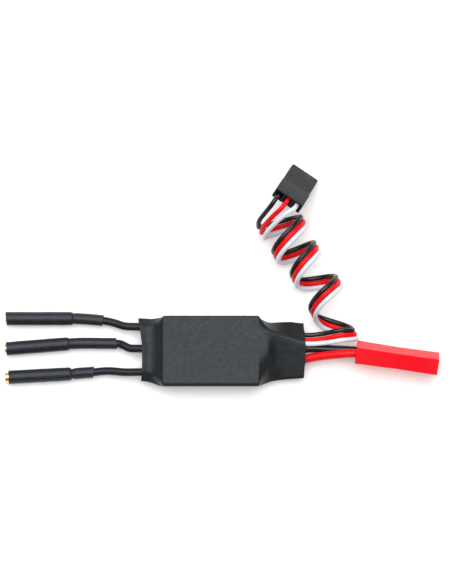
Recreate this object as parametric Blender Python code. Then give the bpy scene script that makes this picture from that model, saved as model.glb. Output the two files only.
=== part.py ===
"""Electronic speed controller for a small brushless motor, as separate pieces in metres.

Origin: centre of the underside of the heat-shrunk body. +X runs from the motor leads to the battery
leads, +Y across the body, +Z up. Three motor leads leave at -X, the battery leads and the servo lead
at +X. Everything is one rigid assembly: only the leads flex.
"""

import math

import bmesh
import bpy
from mathutils import Euler, Matrix, Vector

MM = 0.001
STEP = 0.02 * MM  # length of the sudden change where insulation ends and bare strands begin

# Heat-shrunk body
SLEEVE_WALL = 0.4
SLEEVE_CORNER_STEPS = 3
# Outer sections along X: x, lowest y, highest y, lowest z, highest z, corner radius.
SLEEVE_SECTIONS = (
    (-17.8, -7.35, 8.5, 1.7, 4.95, 1.2),
    (-16.3, -7.45, 8.3, 1.7, 5.45, 1.2),
    (-14.5, -7.8, 8.15, 1.3, 5.75, 1.4),
    (-12.9, -8.4, 8.4, 0.4, 6.4, 1.0),
    (-12.0, -8.7, 8.7, 0.0, 7.0, 0.5),
    (11.75, -8.6, 8.7, 0.0, 7.0, 0.5),
    (13.4, -7.8, 7.5, 0.1, 6.95, 1.0),
    (15.0, -7.3, 7.4, 0.2, 6.85, 1.2),
    (16.8, -7.0, 7.5, 0.4, 6.6, 1.2),
    (20.0, -6.75, 7.6, 0.7, 6.2, 1.2),
    (23.3, -6.5, 7.1, 1.4, 5.85, 1.2),
)

# Board and what it carries
BOARD_CENTRE_X = 0.0
BOARD_LENGTH, BOARD_WIDTH, BOARD_THICKNESS = 21.6, 15.0, 1.0
BOARD_BOTTOM = 2.25
BOARD_TOP = BOARD_BOTTOM + BOARD_THICKNESS
CHIP_GAP = 0.1
MOSFET_SIZE = (4.4, 5.8, 1.1)
MOSFET_PITCH_X, MOSFET_PITCH_Y = 4.9, 6.4
MOSFET_CENTRE_X = -0.3
THERMAL_PAD_SIZE = (14.6, 12.4, 0.6)
SPREADER_SIZE = (22.0, 15.2, 1.1)
MICROCONTROLLER_SIZE = (7.0, 7.0, 1.1)
REGULATOR_SIZE = (6.5, 3.5, 1.5)
CERAMIC_SIZE = (2.0, 1.25, 0.9)
SENSE_RESISTOR_SIZE = (3.2, 6.3, 0.7)

# Input capacitor, lying along Y past the end of the board, its legs running back on to the board
CAPACITOR_RADIUS, CAPACITOR_LENGTH = 2.0, 5.9
CAPACITOR_BASE = (13.4, 4.7, 4.4)
CAPACITOR_LEG_RADIUS = 0.25
CAPACITOR_LEGS = (
    ((12.65, 4.75, 4.4), (12.6, 5.2, 4.35), (12.0, 5.5, 4.1), (11.2, 5.5, 3.75), (9.4, 5.5, 3.6)),
    ((14.15, 4.75, 4.4), (14.1, 5.4, 4.3), (13.4, 6.1, 4.0), (11.6, 6.4, 3.7), (9.4, 6.4, 3.6)),
)

# Motor leads and their bullet sockets
MOTOR_WIRE_RADIUS, MOTOR_STRAND_RADIUS = 1.0, 0.5
MOTOR_STRIP = 2.8
SOCKET_RADIUS, SOCKET_BORE_RADIUS = 1.3, 1.0
SOCKET_LENGTH, SOCKET_BORE_DEPTH = 13.0, 8.5
SOCKET_CUP_RADIUS, SOCKET_CUP_DEPTH = 0.85, 3.5
SLEEVE_TUBE_RADIUS, SLEEVE_TUBE_INSIDE = 1.68, 1.45
SLEEVE_NECK_RADIUS, SLEEVE_NECK_INSIDE = 1.4, 1.12

# Battery leads and the two-way plug, standing on its narrow edge and leaning over
BATTERY_WIRE_RADIUS, BATTERY_STRAND_RADIUS = 1.06, 0.5
BATTERY_STRIP_AT_BOARD, BATTERY_STRIP = 2.9, 2.0
PLUG_LENGTH, PLUG_THICKNESS, PLUG_WIDTH = 20.55, 4.2, 7.4
PLUG_WIRE_END = (35.92, -0.12, 4.205)
PLUG_HEADING, PLUG_LEAN = -8.3, 20.5
PLUG_PITCH = 2.5
PLUG_SHROUD_DEPTH, PLUG_SHROUD_WALL = 9.2, 0.65
PLUG_CAVITY = 2.25
PLUG_WINDOW = (3.2, 2.6)
PIN_RADIUS, PIN_LENGTH = 0.55, 7.6
BARREL_RADIUS, BARREL_LENGTH, BARREL_CUP_RADIUS, BARREL_CUP_DEPTH = 0.95, 4.6, 0.72, 2.4
BARREL_START = 3.1

# Servo lead: three strands, then an open coil, then a three-way plug standing on its mating end
SERVO_WIRE_RADIUS, SERVO_STRAND_RADIUS = 0.6, 0.3
SERVO_STRIP = 1.4
COIL_RADIUS = 5.45
COIL_AXIS = (
    (29.2, 10.4, 5.5),
    (27.6, 14.3, 5.5),
    (25.6, 18.1, 5.5),
    (23.4, 21.9, 5.5),
    (21.1, 25.6, 5.5),
    (19.1, 29.1, 5.5),
    (18.4, 30.4, 5.5),
)
SERVO_PLUG_LENGTH, SERVO_PLUG_WIDTH, SERVO_PLUG_THICKNESS = 14.0, 7.6, 2.6
SERVO_PLUG_REAR_LENGTH, SERVO_PLUG_REAR_WIDTH = 5.6, 7.9
SERVO_PLUG_WIRE_END = (18.81, 36.73, 11.75)
SERVO_PLUG_TURN = (-50.0, 7.7, -27.5)
SERVO_PITCH = 2.54
SERVO_CAVITY = (1.9, 1.8)
CONTACT_SIZE = (1.5, 8.0, 1.4)
CONTACT_POCKET, CONTACT_POCKET_DEPTH = 0.9, 5.0
CONTACT_BARREL_LENGTH, CONTACT_BARREL_CUP = 2.4, 1.5

ROUND_STEPS = 16
SMOOTH_ANGLE = math.radians(40.0)


# ---------------------------------------------------------------- scene and materials


def clear_scene():
    for old in list(bpy.data.objects):
        bpy.data.objects.remove(old, do_unlink=True)


def make_material(name, colour, roughness, metallic=0.0):
    material = bpy.data.materials.new(name)
    material.use_nodes = True
    shader = material.node_tree.nodes["Principled BSDF"]
    shader.inputs["Base Color"].default_value = (*colour, 1.0)
    shader.inputs["Roughness"].default_value = roughness
    shader.inputs["Metallic"].default_value = metallic
    return material


def make_materials():
    return {
        "shrink": make_material("shrink_black", (0.065, 0.078, 0.085), 0.62),
        "silicone": make_material("silicone_black", (0.03, 0.032, 0.036), 0.5),
        "wire_black": make_material("wire_black", (0.02, 0.02, 0.022), 0.35),
        "wire_red": make_material("wire_red", (0.8, 0.02, 0.02), 0.35),
        "wire_white": make_material("wire_white", (0.85, 0.86, 0.88), 0.35),
        "plug_red": make_material("plug_red", (0.9, 0.02, 0.035), 0.35),
        "plug_black": make_material("plug_black", (0.06, 0.06, 0.068), 0.5),
        "gold": make_material("gold_plate", (0.83, 0.6, 0.25), 0.3, 1.0),
        "tin": make_material("tin_plate", (0.75, 0.74, 0.7), 0.35, 1.0),
        "aluminium": make_material("aluminium", (0.7, 0.71, 0.72), 0.4, 1.0),
        "board": make_material("board_green", (0.02, 0.12, 0.05), 0.45),
        "chip": make_material("chip_black", (0.03, 0.03, 0.032), 0.55),
        "ceramic": make_material("ceramic_tan", (0.5, 0.38, 0.25), 0.5),
        "pad": make_material("pad_grey", (0.45, 0.48, 0.52), 0.8),
    }


# ---------------------------------------------------------------- shapes


def mm(point):
    return Vector(point) * MM


def add_object(name, mesh, material, place=None):
    obj = bpy.data.objects.new(name, mesh)
    obj.data.materials.append(material)
    if place is not None:
        obj.matrix_world = place
    bpy.context.scene.collection.objects.link(obj)
    return obj


def add_mesh(name, bm, material, place=None):
    bmesh.ops.recalc_face_normals(bm, faces=bm.faces)
    if bm.calc_volume(signed=True) < 0.0:
        bmesh.ops.reverse_faces(bm, faces=bm.faces)
    mesh = bpy.data.meshes.new(name)
    bm.to_mesh(mesh)
    bm.free()
    mesh.shade_smooth()
    mesh.set_sharp_from_angle(angle=SMOOTH_ANGLE)
    return add_object(name, mesh, material, place)


def block_mesh(size, centre=(0.0, 0.0, 0.0), bevel=0.0, bevel_segments=1):
    """A cuboid of this size in millimetres, its edges bevelled."""
    bm = bmesh.new()
    bmesh.ops.create_cube(bm, size=1.0)
    bmesh.ops.scale(bm, vec=mm(size), verts=bm.verts)
    bmesh.ops.translate(bm, vec=mm(centre), verts=bm.verts)
    if bevel:
        bmesh.ops.bevel(
            bm,
            geom=bm.edges[:],
            offset=bevel * MM,
            segments=bevel_segments,
            profile=0.5,
            affect="EDGES",
            material=-1,
        )
    return bm


def add_block(name, size, centre, material, bevel=0.0, place=None):
    return add_mesh(name, block_mesh(size, centre, bevel), material, place)


def add_turned(name, profile, material, place):
    """A turned piece on the local +Y axis, from (distance along Y, radius) points, axis to axis."""
    bm = bmesh.new()
    points = [bm.verts.new(mm((radius, along, 0.0))) for along, radius in profile]
    edges = [bm.edges.new(pair) for pair in zip(points, points[1:])]
    bmesh.ops.spin(
        bm,
        geom=points + edges,
        cent=(0.0, 0.0, 0.0),
        axis=(0.0, 1.0, 0.0),
        angle=2.0 * math.pi,
        steps=ROUND_STEPS,
        use_merge=True,
    )
    bmesh.ops.remove_doubles(bm, verts=bm.verts, dist=1e-7)
    return add_mesh(name, bm, material, place)


def add_ring(bm, points):
    """A closed loop of edges through these points."""
    verts = [bm.verts.new(point) for point in points]
    return [bm.edges.new((a, b)) for a, b in zip(verts, verts[1:] + verts[:1])]


def bridge_rings(bm, rings, closed):
    """Skins a run of edge loops. A closed run joins its last loop to its first, as on a hollow tube."""
    loops = [add_ring(bm, ring) for ring in rings]
    pairs = list(zip(loops, loops[1:]))
    if closed:
        pairs.append((loops[-1], loops[0]))
    for first, second in pairs:
        bmesh.ops.bridge_loops(bm, edges=first + second)


def rounded_rectangle(low_y, high_y, low_z, high_z, radius, steps):
    """(y, z) points of a rectangle with round corners, anticlockwise."""
    centres = (
        (high_y - radius, high_z - radius),
        (low_y + radius, high_z - radius),
        (low_y + radius, low_z + radius),
        (high_y - radius, low_z + radius),
    )
    points = []
    for quarter, (y, z) in enumerate(centres):
        for step in range(steps + 1):
            angle = math.pi / 2 * (quarter + step / steps)
            points.append((y + radius * math.cos(angle), z + radius * math.sin(angle)))
    return points


# ---------------------------------------------------------------- routes of the leads


def smooth_curve(route, pieces=16):
    """Many points on the smooth curve through the route's own points (Catmull-Rom)."""
    points = [Vector(point) for point in route]
    ends = [2 * points[0] - points[1], *points, 2 * points[-1] - points[-2]]
    curve = []
    for before, start, end, after in zip(ends, ends[1:], ends[2:], ends[3:]):
        for piece in range(pieces):
            t = piece / pieces
            curve.append(
                0.5
                * (
                    2 * start
                    + (end - before) * t
                    + (2 * before - 5 * start + 4 * end - after) * t**2
                    + (3 * start - before - 3 * end + after) * t**3
                )
            )
    return [*curve, points[-1]]


def curve_length(curve):
    return sum((b - a).length for a, b in zip(curve, curve[1:]))


def point_along(curve, distance):
    """(point, direction) at this distance along the curve."""
    for start, end in zip(curve, curve[1:]):
        step = (end - start).length
        if distance <= step:
            return start.lerp(end, distance / step), (end - start).normalized()
        distance -= step
    return curve[-1].copy(), (curve[-1] - curve[-2]).normalized()


def wire_stations(length, radius, strand_radius, strip_start, strip_end, spacing):
    """(distance, radius) pairs along a wire. The strip lengths are bare strands, zero where there are none."""
    first, last = strip_start, length - strip_end
    count = max(2, math.ceil((last - first) / spacing))
    step = STEP / MM
    inner = [(first + (last - first) * i / count, radius) for i in range(count + 1)]
    head = [(0.0, strand_radius), (first - step, strand_radius)] if strip_start else []
    tail = [(last + step, strand_radius), (length, strand_radius)] if strip_end else []
    return head + inner + tail


def add_wire(name, route, radii, material, strips=(0.0, 0.0), sides=2, spacing=2.4):
    """A round wire along the route, with bared strands at either end.

    radii are the insulation's and the strands', strips the bared lengths at the start and the end,
    sides the bevel resolution and spacing the distance between sections in radii.
    """
    radius, strand_radius = radii
    curve = smooth_curve(route)
    stations = wire_stations(curve_length(curve), radius, strand_radius, *strips, spacing * radius)
    data = bpy.data.curves.new(name, "CURVE")
    data.dimensions = "3D"
    data.bevel_depth = radius * MM
    data.bevel_resolution = sides
    data.use_fill_caps = True
    spline = data.splines.new("POLY")
    spline.points.add(len(stations) - 1)
    for point, (distance, local_radius) in zip(spline.points, stations):
        place, _ = point_along(curve, distance)
        point.co = (*(place * MM), 1.0)
        point.radius = local_radius / radius
    return add_object(name, data, material)


def add_shrink_tube(name, curve, stations, material):
    """A hollow tube on the curve, from (distance, outer radius, inner radius) stations."""
    rings = {"outer": [], "inner": []}
    for distance, outer, inner in stations:
        place, direction = point_along(curve, distance)
        turn = direction.to_track_quat("Y", "Z")
        for side, radius in (("outer", outer), ("inner", inner)):
            rings[side].append(
                [
                    mm(place + turn @ Vector((radius * math.cos(a), 0.0, radius * math.sin(a))))
                    for a in (2 * math.pi * i / ROUND_STEPS for i in range(ROUND_STEPS))
                ]
            )
    bm = bmesh.new()
    bridge_rings(bm, rings["outer"] + rings["inner"][::-1], closed=True)
    return add_mesh(name, bm, material)


# ---------------------------------------------------------------- body


def add_heat_shrink_sleeve(materials):
    def section(x, low_y, high_y, low_z, high_z, radius, inset):
        outline = rounded_rectangle(
            low_y + inset,
            high_y - inset,
            low_z + inset,
            high_z - inset,
            max(radius - inset, 0.15),
            SLEEVE_CORNER_STEPS,
        )
        return [mm((x, y, z)) for y, z in outline]

    outer = [section(*sizes, 0.0) for sizes in SLEEVE_SECTIONS]
    inner = [section(*sizes, SLEEVE_WALL) for sizes in SLEEVE_SECTIONS]
    bm = bmesh.new()
    bridge_rings(bm, outer + inner[::-1], closed=True)
    add_mesh("heat_shrink_sleeve", bm, materials["shrink"])


def add_circuit_board(materials):
    centre = (BOARD_CENTRE_X, 0.0, BOARD_BOTTOM + BOARD_THICKNESS / 2)
    size = (BOARD_LENGTH, BOARD_WIDTH, BOARD_THICKNESS)
    add_block("circuit_board", size, centre, materials["board"])


def add_top_side(materials):
    """Six transistors, and the pad and plate that take their heat."""
    height = MOSFET_SIZE[2]
    centre_z = BOARD_TOP + CHIP_GAP + height / 2
    for number in range(6):
        column, row = divmod(number, 2)
        centre = (
            MOSFET_CENTRE_X + (column - 1) * MOSFET_PITCH_X,
            (row - 0.5) * MOSFET_PITCH_Y,
            centre_z,
        )
        add_block(f"mosfet_{number + 1}", MOSFET_SIZE, centre, materials["chip"], bevel=0.15)
    pad_bottom = BOARD_TOP + CHIP_GAP + height + CHIP_GAP
    pad_centre = (MOSFET_CENTRE_X, 0.0, pad_bottom + THERMAL_PAD_SIZE[2] / 2)
    add_block("thermal_pad", THERMAL_PAD_SIZE, pad_centre, materials["pad"])
    plate_bottom = pad_bottom + THERMAL_PAD_SIZE[2] + CHIP_GAP
    plate_centre = (BOARD_CENTRE_X, 0.0, plate_bottom + SPREADER_SIZE[2] / 2)
    add_block("heat_spreader_plate", SPREADER_SIZE, plate_centre, materials["aluminium"], bevel=0.15)


def add_bottom_side(materials):
    """The controller chip, the regulators and the small parts under the board."""

    def hang(name, size, x, y, material, bevel=0.1):
        centre = (x, y, BOARD_BOTTOM - CHIP_GAP - size[2] / 2)
        add_block(name, size, centre, material, bevel)

    hang("microcontroller", MICROCONTROLLER_SIZE, -3.6, 1.4, materials["chip"])
    hang("voltage_regulator_1", REGULATOR_SIZE, 4.6, 5.0, materials["chip"])
    hang("voltage_regulator_2", REGULATOR_SIZE, 4.6, 0.9, materials["chip"])
    hang("sense_resistor", SENSE_RESISTOR_SIZE, 6.0, -4.0, materials["chip"])
    for number in range(4):
        x = -7.4 + 2.9 * number
        hang(f"ceramic_capacitor_{number + 1}", CERAMIC_SIZE, x, -5.2, materials["ceramic"], 0.06)


def add_input_capacitor(materials):
    radius, length = CAPACITOR_RADIUS, CAPACITOR_LENGTH
    profile = (
        (0.0, 0.0),
        (0.0, radius - 0.35),
        (0.2, radius - 0.05),
        (0.7, radius - 0.05),
        (0.9, radius - 0.3),
        (1.1, radius),
        (length - 0.2, radius),
        (length, radius - 0.2),
        (length, 0.0),
    )
    place = Matrix.Translation(mm(CAPACITOR_BASE)) @ Matrix.Rotation(math.pi, 4, "Z")
    add_turned("input_capacitor", profile, materials["aluminium"], place)
    radii = (CAPACITOR_LEG_RADIUS, CAPACITOR_LEG_RADIUS)
    for number, route in enumerate(CAPACITOR_LEGS):
        add_wire(f"input_capacitor_leg_{number + 1}", route, radii, materials["tin"])


# ---------------------------------------------------------------- motor leads


# Each lead: the front of the socket, the front of its sleeve along the same line, the bend behind the
# socket, the end of the sleeve's neck, and the rest of the wire's way to the board.
MOTOR_LEADS = (
    {
        "socket_front": (-51.25, 8.5, 1.72),
        "sleeve_lead": 0.05,
        "bend": (-34.6, 8.5, 1.72),
        "neck": ((-31.5, 8.4, 1.7), (-27.1, 8.0, 1.7)),
        "way": ((-24.4, 7.42, 2.1), (-21.5, 6.5, 2.65), (-17.8, 6.25, 3.15)),
        "pad_y": 5.4,
    },
    {
        "socket_front": (-51.4, 0.93, 1.72),
        "sleeve_lead": -0.1,
        "bend": (-35.5, 2.18, 1.72),
        "neck": ((-31.0, 2.32, 1.72), (-23.7, 2.24, 1.8)),
        "way": ((-22.0, 1.75, 2.25), (-20.2, 0.95, 2.7), (-17.3, 0.8, 3.3)),
        "pad_y": 0.3,
    },
    {
        "socket_front": (-51.25, -6.23, 1.72),
        "sleeve_lead": -0.8,
        "bend": (-34.9, -5.33, 1.72),
        "neck": ((-32.4, -5.12, 1.7), (-29.4, -4.9, 1.7)),
        "way": ((-25.6, -4.66, 2.1), (-21.5, -5.02, 2.65), (-17.3, -5.05, 3.3)),
        "pad_y": -5.3,
    },
)
MOTOR_PAD_X = -8.3
MOTOR_WIRE_REST = BOARD_TOP + MOTOR_WIRE_RADIUS
MOTOR_PAD_Z = BOARD_TOP + CHIP_GAP + MOTOR_STRAND_RADIUS


def add_motor_lead(number, lead, materials):
    front, bend = Vector(lead["socket_front"]), Vector(lead["bend"])
    back = (bend - front).normalized()
    place = Matrix.Translation(mm(front)) @ back.to_track_quat("Y", "Z").to_matrix().to_4x4()
    add_bullet_socket(number, place, materials)

    cup_floor = front + back * (SOCKET_LENGTH - SOCKET_CUP_DEPTH + 0.3)
    route = (
        cup_floor,
        front + back * SOCKET_LENGTH,
        bend,
        *lead["neck"],
        *lead["way"],
        (-14.2, lead["pad_y"] + 0.15, MOTOR_WIRE_REST - 0.25),
        (MOTOR_PAD_X - 2.6, lead["pad_y"], MOTOR_WIRE_REST),
        (MOTOR_PAD_X, lead["pad_y"], MOTOR_PAD_Z),
    )
    add_wire(
        f"motor_lead_{number}",
        route,
        (MOTOR_WIRE_RADIUS, MOTOR_STRAND_RADIUS),
        materials["silicone"],
        strips=(SOCKET_CUP_DEPTH, MOTOR_STRIP),
    )
    add_bullet_sleeve(number, lead, front, back, bend, materials)


def add_bullet_socket(number, place, materials):
    """A female socket: blind bore at the front, solder cup at the back."""
    length, radius = SOCKET_LENGTH, SOCKET_RADIUS
    profile = (
        (SOCKET_BORE_DEPTH, 0.0),
        (SOCKET_BORE_DEPTH, SOCKET_BORE_RADIUS),
        (0.0, SOCKET_BORE_RADIUS),
        (0.0, radius - 0.02),
        (0.15, radius),
        (length, radius),
        (length, SOCKET_CUP_RADIUS),
        (length - SOCKET_CUP_DEPTH, SOCKET_CUP_RADIUS),
        (length - SOCKET_CUP_DEPTH, 0.0),
    )
    add_turned(f"bullet_socket_{number}", profile, materials["gold"], place)


def add_bullet_sleeve(number, lead, front, back, bend, materials):
    start = front - back * lead["sleeve_lead"]
    curve = smooth_curve((start, start.lerp(bend, 0.5), bend, *lead["neck"]))
    tube_end = (bend - start).length
    stations = [
        (0.0, SLEEVE_TUBE_RADIUS, SLEEVE_TUBE_INSIDE),
        (tube_end - 0.4, SLEEVE_TUBE_RADIUS, SLEEVE_TUBE_INSIDE),
        (tube_end + 0.4, SLEEVE_NECK_RADIUS, SLEEVE_NECK_INSIDE),
    ]
    neck_end = curve_length(curve)
    count = max(2, round((neck_end - tube_end) / 2.5))
    stations += [
        (
            tube_end + 0.4 + (neck_end - tube_end - 0.4) * i / count,
            SLEEVE_NECK_RADIUS,
            SLEEVE_NECK_INSIDE,
        )
        for i in range(1, count + 1)
    ]
    add_shrink_tube(f"bullet_sleeve_{number}", curve, stations, materials["silicone"])


# ---------------------------------------------------------------- battery leads and their plug


PLUG_FRAME = Matrix.Translation(mm(PLUG_WIRE_END)) @ Euler(
    (math.radians(PLUG_LEAN), 0.0, math.radians(PLUG_HEADING)), "XYZ"
).to_matrix().to_4x4()
BATTERY_ROUTES = {
    "black": (
        (8.2, -1.95, 3.85), (10.9, -2.3, 4.25), (13.2, -2.85, 3.9), (16.4, -2.2, 3.0), (19.6, -0.5, 2.85),
        (23.3, 0.8, 3.05),
    ),
    "red": (
        (8.2, -4.7, 3.85), (10.9, -4.9, 4.15), (13.2, -5.05, 3.3), (16.4, -4.5, 2.35), (19.6, -3.15, 2.4),
        (23.3, -1.75, 3.0),
    ),
}
BATTERY_FREE = {
    "black": ((26.5, 0.85, 3.1), (30.0, 0.65, 3.05), (33.0, 0.5, 3.0)),
    "red": ((27.6, -1.1, 4.2), (31.6, -0.8, 5.2), (34.0, -0.65, 5.45)),
}
PLUG_SLOTS = {"black": -0.5 * PLUG_PITCH, "red": 0.5 * PLUG_PITCH}


def plug_point(along, across, up):
    """A point of the battery plug's own frame, in millimetres of the whole object."""
    return (PLUG_FRAME @ mm((along, across, up))) / MM


def add_battery_lead(colour, materials):
    height = PLUG_SLOTS[colour]
    route = (
        *BATTERY_ROUTES[colour],
        *BATTERY_FREE[colour],
        plug_point(0.4, 0.0, height),
        plug_point(2.2, 0.0, height),
        plug_point(2.8 + BATTERY_STRIP, 0.0, height),
    )
    add_wire(
        f"battery_lead_{colour}",
        route,
        (BATTERY_WIRE_RADIUS, BATTERY_STRAND_RADIUS),
        materials[f"wire_{colour}"],
        strips=(BATTERY_STRIP_AT_BOARD, BATTERY_STRIP),
    )


def add_plug_pin(number, height, materials):
    """A crimped pin: a cup for the bared strands, a barrel, and the contact pin in the shroud."""
    barrel_end = BARREL_LENGTH
    tip = BARREL_LENGTH + PIN_LENGTH
    profile = (
        (BARREL_CUP_DEPTH, 0.0),
        (BARREL_CUP_DEPTH, BARREL_CUP_RADIUS),
        (0.0, BARREL_CUP_RADIUS),
        (0.0, BARREL_RADIUS),
        (barrel_end, BARREL_RADIUS),
        (barrel_end + 0.4, PIN_RADIUS),
        (tip - 0.5, PIN_RADIUS),
        (tip, PIN_RADIUS * 0.5),
        (tip, 0.0),
    )
    along_x = Matrix.Rotation(-math.pi / 2, 4, "Z")
    place = PLUG_FRAME @ Matrix.Translation(mm((BARREL_START, 0.0, height))) @ along_x
    add_turned(f"power_plug_pin_{number}", profile, materials["tin"], place)


def cut(target, name, size, centre, place):
    """Cuts a box-shaped hollow from the target with a hidden cutter."""
    cutter = add_mesh(name, block_mesh(size, centre), target.data.materials[0], place)
    cutter.hide_render = True
    cutter.display_type = "WIRE"
    modifier = target.modifiers.new(name, "BOOLEAN")
    modifier.operation = "DIFFERENCE"
    modifier.solver = "EXACT"
    modifier.object = cutter


def add_power_plug(materials):
    """The red housing: open shroud in front, two pin cavities behind it, a catch window in one wall."""
    size = (PLUG_LENGTH, PLUG_THICKNESS, PLUG_WIDTH)
    housing = add_block(
        "power_plug_housing",
        size,
        (PLUG_LENGTH / 2, 0.0, 0.0),
        materials["plug_red"],
        bevel=0.25,
        place=PLUG_FRAME,
    )
    wall = PLUG_SHROUD_WALL
    mouth = (PLUG_SHROUD_DEPTH + 2.0, PLUG_THICKNESS - 2 * wall, PLUG_WIDTH - 2 * wall)
    mouth_centre = (PLUG_LENGTH - PLUG_SHROUD_DEPTH + mouth[0] / 2, 0.0, 0.0)
    cut(housing, "cut_shroud", mouth, mouth_centre, PLUG_FRAME)
    for number, height in enumerate(PLUG_SLOTS.values()):
        slot = (PLUG_LENGTH, PLUG_CAVITY, PLUG_CAVITY)
        slot_centre = (PLUG_LENGTH / 2 - PLUG_SHROUD_DEPTH + 1.0, 0.0, height)
        cut(housing, f"cut_slot_{number}", slot, slot_centre, PLUG_FRAME)
    window = (PLUG_WINDOW[0], 3.0 * wall, PLUG_WINDOW[1])
    window_centre = (PLUG_LENGTH - 5.0, -PLUG_THICKNESS / 2, 0.0)
    cut(housing, "cut_window", window, window_centre, PLUG_FRAME)
    for number, height in enumerate(PLUG_SLOTS.values()):
        add_plug_pin(number + 1, height, materials)


# ---------------------------------------------------------------- servo lead and its plug


SERVO_FRAME = Matrix.Translation(mm(SERVO_PLUG_WIRE_END)) @ (
    Matrix.Rotation(math.radians(SERVO_PLUG_TURN[2]), 4, "Z")
    @ Matrix.Rotation(math.radians(SERVO_PLUG_TURN[0]), 4, "X")
    @ Matrix.Rotation(math.radians(SERVO_PLUG_TURN[1]), 4, "Y")
)
# Each strand's way out of the body and round to the near end of the coil.
SERVO_NEAR = {
    "black": (
        (8.6, 5.6, 1.5), (10.6, 5.55, 1.5), (12.4, 5.5, 1.55), (14.6, 5.4, 1.7), (17.0, 5.2, 2.4),
        (20.0, 4.75, 3.1), (23.3, 4.15, 3.55), (27.6, 4.4, 4.4), (32.0, 5.3, 6.0), (34.5, 5.8, 4.6),
        (34.0, 6.6, 1.9), (32.8, 8.1, 0.8), (31.7, 9.9, 0.9), (31.37, 10.9, 1.1),
    ),
    "red": (
        (8.6, 4.1, 1.5), (10.6, 4.1, 1.5), (12.4, 4.1, 1.55), (14.6, 4.05, 1.75), (17.0, 3.85, 2.7),
        (20.0, 3.4, 3.6), (23.3, 2.8, 4.05), (27.6, 3.1, 4.7), (32.2, 4.0, 6.0), (35.1, 4.5, 4.4),
        (34.4, 5.3, 1.6), (31.9, 6.8, 0.8), (29.9, 8.6, 0.8), (29.33, 10.08, 0.95),
    ),
    "white": (
        (8.6, 2.6, 1.5), (10.6, 2.65, 1.5), (12.4, 2.7, 1.55), (14.6, 2.75, 1.8), (17.0, 2.6, 3.0),
        (20.0, 2.25, 4.1), (23.3, 1.7, 4.55), (27.6, 1.85, 5.05), (32.6, 2.7, 5.9), (35.9, 3.2, 4.2),
        (34.9, 3.9, 1.5), (31.5, 5.2, 0.75), (28.6, 7.2, 0.8), (27.3, 9.24, 1.1),
    ),
}
# From the far end of the coil to the point straight behind each contact.
SERVO_FAR = {
    "black": ((11.5, 32.2, 8.3), (12.5, 34.1, 11.2), (14.2, 35.8, 13.3), (15.8, 36.8, 13.6)),
    "red": ((12.9, 30.7, 8.9), (15.0, 33.0, 12.2), (16.8, 34.6, 13.6), (18.1, 35.6, 13.4)),
    "white": ((13.9, 29.5, 8.7), (16.6, 31.9, 11.9), (18.9, 33.6, 13.2), (20.2, 34.4, 12.9)),
}
SERVO_SLOTS = {"black": -SERVO_PITCH, "red": 0.0, "white": SERVO_PITCH}


def servo_point(across, along, up):
    """A point of the servo plug's own frame, in millimetres of the whole object."""
    return (SERVO_FRAME @ mm((across, along, up))) / MM


def add_servo_lead(materials):
    radii = (SERVO_WIRE_RADIUS, SERVO_STRAND_RADIUS)
    for colour, across in SERVO_SLOTS.items():
        material = materials[f"wire_{colour}"]
        near_name, far_name = f"servo_wire_{colour}_near", f"servo_wire_{colour}_far"
        add_wire(near_name, SERVO_NEAR[colour], radii, material, strips=(SERVO_STRIP, 0.0))
        into_plug = (servo_point(across, 0.3, 0.0), servo_point(across, 3.2, 0.0))
        far_route = (*SERVO_FAR[colour], *into_plug)
        add_wire(far_name, far_route, radii, material, strips=(0.0, SERVO_STRIP))
    coil_radii = (COIL_RADIUS, COIL_RADIUS)
    add_wire("servo_coil", COIL_AXIS, coil_radii, materials["wire_black"], sides=4, spacing=0.6)


def add_servo_contact(number, across, materials):
    """A crimped contact: a square socket in front, a barrel behind that holds the bared strands."""
    width, length, height = CONTACT_SIZE
    bm = block_mesh(CONTACT_SIZE, (0.0, length / 2, 0.0))
    front = max(bm.faces, key=lambda face: face.calc_center_median().y)
    rear = min(bm.faces, key=lambda face: face.calc_center_median().y)
    rim = (height - CONTACT_POCKET) / 2 * MM
    for face, depth in ((front, -CONTACT_POCKET_DEPTH), (rear, -CONTACT_BARREL_LENGTH)):
        bmesh.ops.inset_region(bm, faces=[face], thickness=rim * (1.0 if face is front else 0.3))
        made = bmesh.ops.extrude_discrete_faces(bm, faces=[face])["faces"][0]
        bmesh.ops.translate(bm, vec=(0.0, depth * MM, 0.0), verts=made.verts)
        if face is rear:
            bmesh.ops.inset_region(bm, faces=[made], thickness=0.18 * MM)
            cup = bmesh.ops.extrude_discrete_faces(bm, faces=[made])["faces"][0]
            bmesh.ops.translate(bm, vec=(0.0, CONTACT_BARREL_CUP * MM, 0.0), verts=cup.verts)
    start = 2.0 + CONTACT_BARREL_LENGTH
    place = SERVO_FRAME @ Matrix.Translation(mm((across, start, 0.0)))
    add_mesh(f"servo_contact_{number}", bm, materials["tin"], place)


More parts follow.
